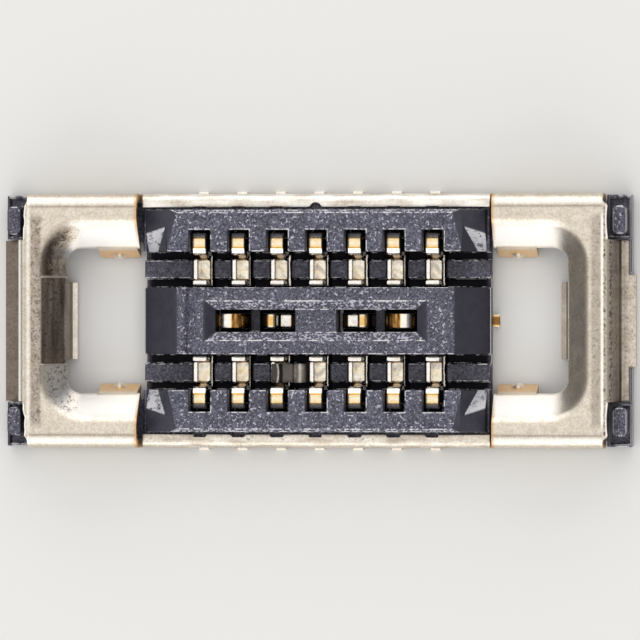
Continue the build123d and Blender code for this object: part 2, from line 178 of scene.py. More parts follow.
@dataclass
class MeshDraft:
    """Vertices, faces and their materials, gathered before they become a mesh."""

    vertices: list[Vector] = field(default_factory=list)
    faces: list[list[int]] = field(default_factory=list)
    zones: list[int] = field(default_factory=list)

    def point(self, place: Vector) -> int:
        """Add one vertex and return its index."""
        self.vertices.append(place.copy())
        return len(self.vertices) - 1

    def grid(self, rows: list[list[Vector]], zone: int = 0) -> None:
        """Add a sheet of quads.

        Args:
            rows: Rows of places, all of the same length.
            zone: Index of the material that the quads take.
        """
        indices = [[self.point(place) for place in row] for row in rows]
        for lower, upper in zip(indices, indices[1:]):
            for a, b, c, d in zip(lower, lower[1:], upper[1:], upper):
                self.faces.append([a, b, c, d])
                self.zones.append(zone)

    def tube(self, rings: list[list[Vector]]) -> None:
        """Add a closed tube of rings, all of the same length, with capped ends."""
        indices = [[self.point(place) for place in ring] for ring in rings]
        for lower, upper in zip(indices, indices[1:]):
            size = len(lower)
            for k in range(size):
                after = (k + 1) % size
                self.faces.append([lower[k], lower[after], upper[after], upper[k]])
        self.faces.append(list(reversed(indices[0])))
        self.faces.append(indices[-1])

    def build(self, name: str, open_sheet: bool = False, merge: float = 0.0004) -> bpy.types.Object:
        """Turn the draft into an object at the origin.

        Args:
            name: The piece's name.
            open_sheet: Whether the draft is one open sheet whose outside faces up.
            merge: Vertices closer than this, in millimetres, become one.

        Returns:
            The new object, linked to the scene and shaded smooth.
        """
        mesh = bpy.data.meshes.new(name)
        mesh.from_pydata([v * MM for v in self.vertices], [], self.faces)
        if self.zones:
            mesh.polygons.foreach_set("material_index", self.zones)
        cleaner = bmesh.new()
        cleaner.from_mesh(mesh)
        bmesh.ops.remove_doubles(cleaner, verts=cleaner.verts, dist=merge * MM)
        bmesh.ops.recalc_face_normals(cleaner, faces=cleaner.faces)
        if sum(face.normal.z * face.calc_area() for face in cleaner.faces) < 0 and open_sheet:
            bmesh.ops.reverse_faces(cleaner, faces=cleaner.faces)
        cleaner.to_mesh(mesh)
        cleaner.free()
        mesh.shade_smooth()
        piece = bpy.data.objects.new(name, mesh)
        bpy.context.scene.collection.objects.link(piece)
        return piece


class Nodes:
    """Short calls for the nodes and links of one tree."""

    def __init__(self, tree: bpy.types.NodeTree) -> None:
        """Take the tree that the calls work on."""
        self.tree = tree

    def node(self, kind: str, **settings: object) -> bpy.types.Node:
        """Add a node and set its properties by name."""
        made = self.tree.nodes.new(kind)
        for key, value in settings.items():
            setattr(made, key, value)
        return made

    def link(self, source: Socket, target: Socket) -> None:
        """Link two sockets."""
        self.tree.links.new(source, target)

    def math(self, operation: str, *terms: Term) -> Socket:
        """Add a math node over sockets or numbers and return its output."""
        made = self.node("ShaderNodeMath", operation=operation)
        for target, term in zip(made.inputs, terms):
            if isinstance(term, (int, float)):
                target.default_value = term
            else:
                self.link(term, target)
        return made.outputs[0]

    def all_of(self, *masks: Term) -> Socket:
        """Multiply masks with each other."""
        result = masks[0]
        for mask in masks[1:]:
            result = self.math("MULTIPLY", result, mask)
        return result

    def span(
        self, value: Socket, source: Span, target: Span = (0.0, 1.0)
    ) -> Socket:
        """Map a value smoothly from one span to another."""
        made = self.node("ShaderNodeMapRange", interpolation_type="SMOOTHSTEP")
        made.inputs["From Min"].default_value, made.inputs["From Max"].default_value = source
        made.inputs["To Min"].default_value, made.inputs["To Max"].default_value = target
        self.link(value, made.inputs["Value"])
        return made.outputs["Result"]


class Shader(Nodes):
    """A material under construction, around its one Principled BSDF."""

    def __init__(self, name: str) -> None:
        """Start the material."""
        self.material = bpy.data.materials.new(name)
        self.material.use_nodes = True
        super().__init__(self.material.node_tree)
        self.surface = self.tree.nodes["Principled BSDF"]

    def group(self, tree: bpy.types.NodeTree, **values: float) -> bpy.types.Node:
        """Place a shared group and fill its sockets by name, with _ for a space."""
        made = self.node("ShaderNodeGroup", node_tree=tree)
        for key, value in values.items():
            made.inputs[key.replace("_", " ")].default_value = value
        return made

    def mix(
        self,
        share: Socket,
        first: Socket | Colour,
        second: Socket | Colour,
        blend: str = "MIX",
    ) -> Socket:
        """Blend two colours by a share that changes over the surface.

        Args:
            share: The socket that holds the share of the second colour.
            first: A socket or a fixed colour.
            second: A socket or a fixed colour.
            blend: How the second colour acts on the first.

        Returns:
            The blended colour's socket.
        """
        made = self.node("ShaderNodeMix", data_type="RGBA", blend_type=blend)
        self.link(share, made.inputs["Factor"])
        targets = [socket for socket in made.inputs if socket.type == "RGBA"]
        for target, value in zip(targets, (first, second)):
            if isinstance(value, tuple):
                target.default_value = (*value, 1.0)
            else:
                self.link(value, target)
        return next(socket for socket in made.outputs if socket.type == "RGBA")

    def layer(self, name: str) -> Socket:
        """Read a value that the mesh carries at its vertices."""
        return self.node("ShaderNodeAttribute", attribute_name=name).outputs["Fac"]

    def ramp(
        self, value: Socket, stops: list[tuple[float, Colour]]
    ) -> Socket:
        """Turn a value into a colour through a ramp.

        Args:
            value: The socket that holds the value.
            stops: Place and colour of each stop.

        Returns:
            The colour's socket.
        """
        made = self.node("ShaderNodeValToRGB")
        elements = made.color_ramp.elements
        elements[0].position, elements[0].color = stops[0][0], (*stops[0][1], 1.0)
        elements[1].position, elements[1].color = stops[-1][0], (*stops[-1][1], 1.0)
        for place, colour in stops[1:-1]:
            elements.new(place).color = (*colour, 1.0)
        self.link(value, made.inputs["Fac"])
        return made.outputs["Color"]

    def bump(self, height: Socket, strength: float, depth: float) -> None:
        """Feed the surface's normal from a height.

        Args:
            height: The socket that holds the height.
            strength: The bump's strength.
            depth: The relief's full depth in millimetres.
        """
        made = self.node("ShaderNodeBump")
        made.inputs["Strength"].default_value = strength
        made.inputs["Distance"].default_value = depth * MM
        self.link(height, made.inputs["Height"])
        self.link(made.outputs["Normal"], self.surface.inputs["Normal"])


class GroupTree(Nodes):
    """A shader node group under construction."""

    def __init__(self, name: str, inputs: dict[str, float], outputs: list[str]) -> None:
        """Name the group and its sockets.

        Args:
            name: The group's name.
            inputs: Default value for each input.
            outputs: Names of the values that it puts out.
        """
        super().__init__(bpy.data.node_groups.new(name, "ShaderNodeTree"))
        sockets = self.tree.interface
        kind = "NodeSocketFloat"
        for label, value in inputs.items():
            socket = sockets.new_socket(label, in_out="INPUT", socket_type=kind)
            socket.default_value = value
        for label in outputs:
            sockets.new_socket(label, in_out="OUTPUT", socket_type=kind)
        self.start = self.node("NodeGroupInput")
        self.end = self.node("NodeGroupOutput")

    def take(self, label: str) -> Socket:
        """The socket that carries an input into the group."""
        return self.start.outputs[label]

    def give(self, label: str, value: Socket) -> None:
        """Send a value out of the group."""
        self.link(value, self.end.inputs[label])

    def place(self, axis: str, signed: bool = False) -> Socket:
        """Place along an axis in millimetres, or the distance from its zero."""
        where = self.node("ShaderNodeTexCoord")
        parts = self.node("ShaderNodeSeparateXYZ")
        self.link(where.outputs["Object"], parts.inputs["Vector"])
        value = parts.outputs[axis] if signed else self.math("ABSOLUTE", parts.outputs[axis])
        return self.math("MULTIPLY", value, 1 / MM)

    def noise(
        self,
        scale: Term,
        detail: float,
        rough: float = 0.55,
        stretch: tuple[float, float, float] = (1.0, 1.0, 1.0),
        distortion: float = 0.0,
    ) -> Socket:
        """Fractal noise whose scale is in waves per millimetre.

        Args:
            scale: Waves per millimetre, as a number or a socket.
            detail: Octaves of finer noise.
            rough: How strong the finer octaves are.
            stretch: Scale of the coordinates along each axis.
            distortion: How far the pattern is twisted.

        Returns:
            The noise value's socket.
        """
        where = self.node("ShaderNodeTexCoord")
        place = self.node("ShaderNodeMapping")
        place.inputs["Scale"].default_value = tuple(s / MM for s in stretch)
        self.link(where.outputs["Object"], place.inputs["Vector"])
        made = self.node("ShaderNodeTexNoise")
        self.link(place.outputs["Vector"], made.inputs["Vector"])
        if isinstance(scale, (int, float)):
            made.inputs["Scale"].default_value = scale
        else:
            self.link(scale, made.inputs["Scale"])
        made.inputs["Detail"].default_value = detail
        made.inputs["Roughness"].default_value = rough
        made.inputs["Distortion"].default_value = distortion
        return made.outputs["Fac"]

    def ramp(self, value: Socket, low: float, high: float) -> Socket:
        """Map a value smoothly from between low and high to between 0 and 1."""
        return self.span(value, (low, high))


@dataclass(frozen=True)
class MouldingGrain:
    """Fine curly moulding grain with pale specks, absent from faces that lean along X, which stay
    darker as painted shade.

    A lean is one part of the unit normal, and every other span is a place in millimetres.
    """

    flat_lean: Span = (0.22, 0.05)
    upward_lean: Span = (0.2, 0.5)
    side_lean: Span = (0.2, 0.45)
    straight_lean: Span = (0.15, 0.05)
    facet_lean: Span = (0.55, 0.65)
    rib_foot: Span = (0.17, 0.19)
    rib_crown: Span = (0.24, 0.21)
    rib_end: Span = (1.58, 1.55)
    speck_height: Span = (0.12, 0.40)
    slot_end: Span = (1.25, 1.20)
    slot_wall: Span = (0.61, 0.63)
    post_start: Span = (2.60, 2.65)
    island_end: Span = (1.54, 1.555)
    island_side: Span = (0.42, 0.38)
    right_half: Span = (0.0, 1.0)
    facet_start: Span = (1.32, 1.345)
    facet_inner: Span = (0.59, 0.61)
    facet_outer: Span = (0.92, 0.90)
    facet_end: Span = (1.60, 1.55)
    unshaded_height: Span = (0.06, 0.30)
    unshaded_end: Span = (1.50, 1.58)

    def group(self) -> bpy.types.NodeTree:
        """Build the group.

        Returns:
            A group that puts out a tone, masks for specks, painted edge highlights, painted facet
            reflections and the height above the painted channel shade, and a relief.
        """
        made = GroupTree(
            "moulding_grain",
            {
                "Curl Scale": 30.0,
                "Fine Scale": 52.0,
                "Speck Scale": 44.0,
                "Speck Level": 0.60,
                "Edge Gain": 0.0,
            },
            ["Tone", "Specks", "Edges", "Facets", "Open", "Relief"],
        )
        shape = made.node("ShaderNodeNewGeometry")
        lean = made.node("ShaderNodeSeparateXYZ")
        made.link(shape.outputs["True Normal"], lean.inputs["Vector"])
        lean_x, lean_y = (made.math("ABSOLUTE", lean.outputs[axis]) for axis in "XY")
        from_x, from_y, height = (made.place(axis) for axis in "XYZ")
        along = made.place("X", signed=True)
        upward = made.ramp(lean.outputs["Z"], *self.upward_lean)
        slanted = made.ramp(lean_y, *self.side_lean)
        # Painted shade by face direction: faces that lean along X, and faces that turn away from
        # up, lose the grain's tone and keep the dark colour
        smooth = made.all_of(
            made.ramp(lean_x, *self.flat_lean), made.math("ADD", made.all_of(upward, 0.85), 0.15)
        )

        # Curls and fine grain
        curls = made.noise(made.take("Curl Scale"), 2.0, 0.6, distortion=1.0)
        from_middle = made.math("ABSOLUTE", made.math("SUBTRACT", curls, 0.5))
        worms = made.ramp(from_middle, 0.08, 0.0)
        patches = made.ramp(made.noise(7.0, 2.0), 0.30, 0.62)
        fine = made.ramp(made.noise(made.take("Fine Scale"), 1.0, 0.5), 0.36, 0.64)
        tone = made.all_of(worms, patches, 0.5)
        tone = made.math("ADD", tone, made.all_of(fine, 0.55))
        haze = made.all_of(made.ramp(made.noise(12.0, 3.0), 0.3, 0.7), 0.07)
        made.give("Tone", made.math("MAXIMUM", made.all_of(tone, smooth), haze))

        # Pale specks, with curls on the ribs; faces that lean along Y get more of them as painted
        # light
        spots = made.noise(made.take("Speck Scale"), 2.0, 0.55)
        ribs = made.all_of(
            made.ramp(height, *self.rib_foot),
            made.ramp(height, *self.rib_crown),
            made.ramp(from_x, *self.rib_end),
        )
        curly = made.all_of(worms, made.ramp(made.noise(14.0, 2.0), 0.42, 0.58), ribs, 0.7)
        level = made.math("SUBTRACT", made.take("Speck Level"), made.all_of(slanted, 0.09))
        specks = made.ramp(made.math("SUBTRACT", spots, level), 0.0, 0.08)
        lit = made.math("MAXIMUM", specks, curly)
        made.give("Specks", made.all_of(lit, smooth, made.ramp(height, *self.speck_height)))

        # Painted edge highlights: on walls and island, beside the slots, on the posts and the
        # island's ends
        broken = made.ramp(made.noise(20.0, 2.0, 0.6), 0.44, 0.56)
        parted = made.ramp(made.noise(9.0, 1.0), 0.36, 0.46)
        straight = made.all_of(slanted, made.ramp(lean_x, *self.straight_lean), broken, parted)
        rising = made.ramp(lean_x, *self.side_lean)
        facing = made.ramp(made.all_of(lean.outputs["X"], -1.0), *self.side_lean)
        slots = made.all_of(
            facing, made.ramp(from_x, *self.slot_end), made.ramp(from_y, *self.slot_wall), broken
        )
        posts = made.all_of(rising, made.ramp(along, *self.post_start), 0.6)
        right = made.math("ADD", made.all_of(made.ramp(along, *self.right_half), 0.6), 0.3)
        ends = made.all_of(
            rising, made.ramp(from_x, *self.island_end), made.ramp(from_y, *self.island_side), right
        )
        marked = made.math("MAXIMUM", straight, slots)
        marked = made.math("MAXIMUM", marked, made.math("MAXIMUM", posts, ends))
        made.give("Edges", made.all_of(marked, upward, made.take("Edge Gain")))

        # Lead-in facets: a painted reflection, broken into streaks
        streaks = made.noise(24.0, 2.0, 0.6, stretch=(1.0, 0.35, 1.0))
        lead_in = made.all_of(
            made.ramp(lean_y, *self.facet_lean),
            upward,
            made.ramp(from_x, *self.facet_start),
            made.ramp(from_y, *self.facet_inner),
            made.ramp(from_y, *self.facet_outer),
            made.ramp(from_x, *self.facet_end),
        )
        made.give("Facets", made.all_of(lead_in, made.ramp(streaks, 0.32, 0.52)))

        # Painted shade: places low down and away from the ends take the near-black channel colour
        raised = made.ramp(height, *self.unshaded_height)
        made.give("Open", made.math("MAXIMUM", raised, made.ramp(from_x, *self.unshaded_end)))
        made.give("Relief", made.math("ADD", made.all_of(tone, 0.6), specks))
        return made.tree


def satin_group() -> bpy.types.NodeTree:
    """Satin plating: cloudy patches, fine mottling and pits.

    Returns:
        A group that puts out clouds, mottling, pits, a relief and a roughness.
    """
    made = GroupTree(
        "satin_plating",
        {"Cloud Scale": 9.0, "Mottle Scale": 48.0, "Pit Amount": 0.0, "Roughness": 0.3},
        ["Clouds", "Mottle", "Pits", "Relief", "Roughness"],
    )
    clouds = made.noise(made.take("Cloud Scale"), 5.0, 0.62)
    mottle = made.noise(made.take("Mottle Scale"), 3.0, 0.65)
    holes = made.noise(38.0, 2.0, 0.6, distortion=0.5)
    amount = made.take("Pit Amount")
    spread_holes = made.math("ADD", holes, made.math("MULTIPLY", amount, 0.12))
    present = made.math("MINIMUM", made.math("MULTIPLY", amount, 3.0), 1.0)
    deep = made.math("MULTIPLY", made.ramp(spread_holes, 0.54, 0.68), present)
    made.give("Clouds", made.ramp(clouds, 0.35, 0.68))
    made.give("Mottle", made.ramp(mottle, 0.36, 0.66))
    made.give("Pits", deep)
    fine = made.math("MULTIPLY", made.math("ADD", clouds, mottle), 0.4)
    made.give("Relief", made.math("SUBTRACT", fine, made.all_of(deep, 0.6)))
    dull = made.all_of(made.ramp(clouds, 0.3, 0.75), 0.10)
    dull = made.math("ADD", dull, made.all_of(deep, 0.12))
    made.give("Roughness", made.math("ADD", made.take("Roughness"), dull))
    return made.tree


@dataclass(frozen=True)
class PlasticFinish:
    """Dark filled moulding compound, with painted highlights on its edges and painted shade, near
    black, low in its channels.
    """

    name: str
    # The near-black channel colour is painted shade for low places in the channels and slots.
    channel_shade: Colour = (0.012, 0.011, 0.015)
    deep: Colour = (0.024, 0.024, 0.041)
    body: Colour = (0.158, 0.158, 0.224)
    # The facet colour is a painted reflection on the lead-in facets.
    facet_reflection: Colour = (0.62, 0.62, 0.66)
    speck: Colour = (0.50, 0.50, 0.58)
    # The edge colour, with its gain, is a painted highlight on rounded edges.
    edge: Colour = (0.86, 0.86, 0.88)
    highlight_gain: float = 0.0
    roughness: float = 0.45

    def material(self, grain: bpy.types.NodeTree) -> bpy.types.Material:
        """Build the material around the shared grain.

        Args:
            grain: The moulding grain group.

        Returns:
            The finished material.
        """
        shader = Shader(self.name)
        speckle = shader.group(grain, Edge_Gain=self.highlight_gain)
        base = shader.mix(speckle.outputs["Tone"], self.deep, self.body)
        # Painted shade: low places in the channels and slots take the near-black colour
        base = shader.mix(speckle.outputs["Open"], self.channel_shade, base)
        base = shader.mix(speckle.outputs["Specks"], base, self.speck)
        # Painted reflection on the lead-in facets
        base = shader.mix(speckle.outputs["Facets"], base, self.facet_reflection)
        # Painted highlights on the rounded edges
        if self.highlight_gain:
            base = shader.mix(speckle.outputs["Edges"], base, self.edge)
        shader.link(base, shader.surface.inputs["Base Color"])
        gloss = shader.span(speckle.outputs["Open"], (0.0, 1.0), (0.04, 0.5))
        shader.link(gloss, shader.surface.inputs["Specular IOR Level"])
        shader.surface.inputs["Roughness"].default_value = self.roughness
        shader.bump(speckle.outputs["Relief"], 0.35, 0.004)
        return shader.material


@dataclass(frozen=True)
class MetalFinish:
    """Plated sheet metal whose colour follows the mesh's tint, from dark to bright, where the tint
    holds both the metal's own marks and painted light and shade.
    """

    name: str
    stops: tuple[tuple[float, Colour], ...]
    cloud: Colour
    cloud_gain: float = 0.5
    mottle: Colour = (0.52, 0.50, 0.48)
    mottle_gain: float = 0.42
    calm: float = 0.0
    stain: Colour = (0.62, 0.36, 0.14)
    pit: Colour = (0.12, 0.09, 0.075)
    roughness: float = 0.3
    cloud_scale: float = 9.0
    metallic: float = 1.0

    def material(self, satin: bpy.types.NodeTree) -> bpy.types.Material:
        """Build the material around the shared satin plating.

        Args:
            satin: The satin plating group.

        Returns:
            The finished material.
        """
        shader = Shader(self.name)
        tint = shader.layer("tint")
        plating = shader.group(satin, Cloud_Scale=self.cloud_scale, Roughness=self.roughness)
        shader.link(shader.layer("pits"), plating.inputs["Pit Amount"])
        base = shader.ramp(tint, list(self.stops))
        veil = shader.span(tint, (0.55, 0.95), (1.0, 1.0 - self.calm))
        clouds = shader.all_of(plating.outputs["Clouds"], self.cloud_gain, veil)
        base = shader.mix(clouds, base, self.cloud, "MULTIPLY")
        mottle = shader.all_of(plating.outputs["Mottle"], self.mottle_gain, veil)
        base = shader.mix(mottle, base, self.mottle, "MULTIPLY")
        base = shader.mix(shader.layer("stain"), base, self.stain)
        base = shader.mix(plating.outputs["Pits"], base, self.pit)
        shader.link(base, shader.surface.inputs["Base Color"])
        shader.surface.inputs["Metallic"].default_value = self.metallic
        shader.link(plating.outputs["Roughness"], shader.surface.inputs["Roughness"])
        shader.bump(plating.outputs["Relief"], 0.35, 0.004)
        return shader.material


@dataclass
class Finishes:
    """The materials, made once and shared by the pieces."""

    plastic: bpy.types.Material
    # The second plastic material carries painted edge highlights.
    edge_highlight: bpy.types.Material
    nickel: bpy.types.Material
    sheared: bpy.types.Material
    stained: bpy.types.Material
    gold: bpy.types.Material
    residue: bpy.types.Material

    @classmethod
    def make(cls) -> "Finishes":
        """Build the shared groups and every material."""
        grain = MouldingGrain().group()
        satin = satin_group()
        nickel = MetalFinish(
            "nickel_plate",
            stops=(
                (0.0, (0.10, 0.075, 0.06)),
                (0.25, (0.42, 0.36, 0.31)),
                (0.5, (0.80, 0.73, 0.625)),
                (0.75, (0.98, 0.95, 0.88)),
                (1.0, (1.0, 0.99, 0.97)),
            ),
            cloud=(0.80, 0.76, 0.70),
            calm=0.92,
            roughness=0.32,
        )
        sheared = MetalFinish(
            "sheared_edge",
            stops=((0.0, (0.50, 0.33, 0.16)), (1.0, (0.80, 0.62, 0.40))),
            cloud=(0.60, 0.50, 0.42),
            roughness=0.35,
        )
        stained = MetalFinish(
            "heat_stained_nickel",
            stops=((0.0, (0.62, 0.34, 0.14)), (0.5, (0.96, 0.66, 0.36)), (1.0, (1.0, 0.95, 0.86))),
            cloud=(0.86, 0.76, 0.64),
            cloud_gain=0.25,
            mottle_gain=0.12,
            roughness=0.30,
        )
        residue = MetalFinish(
            "dried_residue",
            stops=(
                (0.0, (0.006, 0.005, 0.005)),
                (0.3, (0.045, 0.038, 0.032)),
                (0.6, (0.24, 0.21, 0.19)),
                (1.0, (0.90, 0.86, 0.78)),
            ),
            cloud=(0.7, 0.66, 0.62),
            roughness=0.35,
            metallic=0.0,
        )
        gold = MetalFinish(
            "gold_plate",
            stops=(
                (0.0, (0.012, 0.008, 0.006)),
                (0.10, (0.20, 0.09, 0.025)),
                (0.3, (0.83, 0.50, 0.16)),
                (0.5, (0.98, 0.74, 0.36)),
                (0.7, (1.0, 0.90, 0.68)),
                (1.0, (1.0, 0.98, 0.94)),
            ),
            cloud=(0.86, 0.72, 0.55),
            cloud_gain=0.35,
            mottle_gain=0.25,
            stain=(0.46, 0.43, 0.39),
            roughness=0.22,
            cloud_scale=20.0,
        )
        return cls(
            PlasticFinish("dark_polymer").material(grain),
            # Painted edge highlights on the housing's rounded edges
            PlasticFinish("polymer_edge_highlight", highlight_gain=0.9).material(grain),
            nickel.material(satin),
            sheared.material(satin),
            stained.material(satin),
            gold.material(satin),
            residue.material(satin),
        )


def settle(
    piece: bpy.types.Object, slot: str, nodes: list[str], *materials: bpy.types.Material
) -> None:
    """Dress a piece, ride it, hide the solids that it replaces and log its face count.

    Args:
        piece: The finished piece.
        slot: Not used.
        nodes: The solids that it replaces.
        materials: Its materials, in the order of their indices.
    """
    if piece.data.materials:
        piece.data.materials.clear()
    for material in materials:
        piece.data.materials.append(material)
    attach(piece, "root")
    if nodes:
        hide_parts(*nodes)
    log.info("%s: %d faces", piece.name, len(piece.data.polygons))


def paint(piece: bpy.types.Object, layer: str, value_at: Callable[[Vector], float]) -> None:
    """Write one value per vertex into a named layer of a piece's mesh.

    Args:
        piece: The piece.
        layer: The layer's name.
        value_at: Gives the value at a place in millimetres.
    """
    mesh = piece.data
    values = mesh.attributes.get(layer) or mesh.attributes.new(layer, "FLOAT", "POINT")
    values.data.foreach_set("value", [value_at(vertex.co / MM) for vertex in mesh.vertices])


def soften(
    piece: bpy.types.Object, width: float, segments: int, angle: "float | None", material: int = -1
) -> None:
    """Round a piece's sharp edges.

    Args:
        piece: The piece to change.
        width: The bevel's width in millimetres.
        segments: Faces across the bevel.
        angle: Edges that turn by more degrees than this are rounded, or None for their weights.
        material: Index of the rounded edges' material, or -1 to keep their neighbours'.
    """
    bevel = piece.modifiers.new("rounded_edges", "BEVEL")
    bevel.width = width * MM
    bevel.segments = segments
    bevel.limit_method = "WEIGHT" if angle is None else "ANGLE"
    if angle is not None:
        bevel.angle_limit = math.radians(angle)
    bevel.use_clamp_overlap = angle is not None
    bevel.material = material
    normals = piece.modifiers.new("even_normals", "WEIGHTED_NORMAL")
    normals.keep_sharp = False


@dataclass
class Housing:
    """The dark moulding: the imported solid's own form, with moulded edges."""

    edge_width: float = 0.018
    edge_share: float = 0.55
    edge_segments: int = 2
    edge_angle: float = 25.0
    groove_x: float = 1.155
    groove_near: float = 0.02
    groove_half: float = 0.375
    groove_level: float = 0.40
    cover_start: float = 1.62
    cover_end: float = 2.58
    cover_side: float = 0.90
    weld: float = 0.0004
    flatness: float = 1.5

    def rounding(self, edge: bmesh.types.BMEdge) -> float:
        """Share of the full bevel that an edge takes.

        Args:
            edge: An edge of the moulding's mesh.

        Returns:
            None beside the fine groove or under a shell's side, and the usual share elsewhere.
        """
        if len(edge.link_faces) != 2 or edge.calc_face_angle() < math.radians(self.edge_angle):
            return 0.0
        middle = (edge.verts[0].co + edge.verts[1].co) / 2 / MM
        x, y = abs(middle.x), abs(middle.y)
        in_groove = abs(middle.x + self.groove_x) < self.groove_near and y < self.groove_half
        if in_groove and middle.z > self.groove_level:
            return 0.0
        if self.cover_start < x < self.cover_end and y > self.cover_side:
            return 0.0
        return self.edge_share

    def build(self, finishes: Finishes) -> None:
        """Copy the solid's mesh, weld it, round its edges and dress it.

        Args:
            finishes: The shared materials.
        """
        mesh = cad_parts["housing"].data.copy()
        cleaner = bmesh.new()
        cleaner.from_mesh(mesh)
        bmesh.ops.remove_doubles(cleaner, verts=cleaner.verts, dist=self.weld * MM)
        bmesh.ops.dissolve_limit(
            cleaner,
            angle_limit=math.radians(self.flatness),
            verts=cleaner.verts,
            edges=cleaner.edges,
        )
        shares = cleaner.edges.layers.float.new("bevel_weight_edge")
        for edge in cleaner.edges:
            edge.smooth = True
            edge[shares] = self.rounding(edge)
        cleaner.to_mesh(mesh)
        cleaner.free()
        mesh.shade_smooth()
        piece = bpy.data.objects.new("moulded_housing", mesh)
        bpy.context.scene.collection.objects.link(piece)
        # The rounded edges take the second material, whose pale edge colour is a painted highlight.
        soften(piece, self.edge_width, self.edge_segments, None, material=1)
        settle(piece, "housing_plastic", ["housing"], finishes.plastic, finishes.edge_highlight)


@dataclass
class Strip:
    """A flat strip of sheet that follows a path, with rounded edges and ends."""

    thickness: float
    edge_radius: float = 0.013
    arc_steps: int = 3
    flat_steps: int = 5
    end_inset: float = 0.004

    def section(self, width: float, inset: float) -> list[tuple[float, float]]:
        """Outline of the strip's section.

        Args:
            width: The strip's width.
            inset: How far the outline is drawn in.

        Returns:
            Pairs of a place across the strip and one through it.
        """
        half_width = width / 2 - inset
        half_depth = self.thickness / 2 - inset
        radius = max(0.001, min(self.edge_radius - inset, half_depth * 0.95))
        outline = []
        for quarter, (side_a, side_b) in enumerate(((1, 1), (-1, 1), (-1, -1), (1, -1))):
            for index in range(self.arc_steps + 1):
                angle = math.pi / 2 * (quarter + index / self.arc_steps)
                outline.append(
                    (
                        side_a * (half_width - radius) + radius * math.cos(angle),
                        side_b * (half_depth - radius) + radius * math.sin(angle),
                    )
                )
            if quarter % 2 == 0:
                start = outline[-1]
                for index in range(1, self.flat_steps + 1):
                    share = index / (self.flat_steps + 1)
                    outline.append((start[0] * (1 - 2 * share), start[1]))
        return outline

    def sweep(
        self,
        draft: MeshDraft,
        line: list[Vector],
        widths: list[float],
        axes: tuple[Vector, Vector, Vector],
        origin: Vector = Vector((0, 0, 0)),
    ) -> None:
        """Sweep the section along a line.

        Args:
            draft: The draft to add to.
            line: Samples of the path in its own plane.
            widths: The strip's width at each sample.
            axes: Unit vectors of the width and of the path's two coordinates.
            origin: Where the path's own origin lies.
        """
        across, along, rise = axes
        first_way = (line[1] - line[0]).normalized()
        last_way = (line[-1] - line[-2]).normalized()
        inset = self.end_inset
        stations = [(line[0], inset, 0), (line[0] + first_way * inset, 0.0, 0)]
        last = len(line) - 1
        for index in range(1, last):
            near_end = min((line[index] - line[0]).length, (line[index] - line[-1]).length)
            if near_end > 1.5 * inset:
                stations.append((line[index], 0.0, index))
        stations.extend([(line[-1] - last_way * inset, 0.0, last), (line[-1], inset, last)])
        rings = []
        for place, drawn_in, index in stations:
            ahead = (line[min(last, index + 1)] - line[max(0, index - 1)]).normalized()
            normal = Vector((-ahead.y, ahead.x))
            ring = []
            for a, b in self.section(widths[index], drawn_in):
                flat = place + normal * b
                ring.append(origin + across * a + along * flat.x + rise * flat.y)
            rings.append(ring)
        draft.tube(rings)


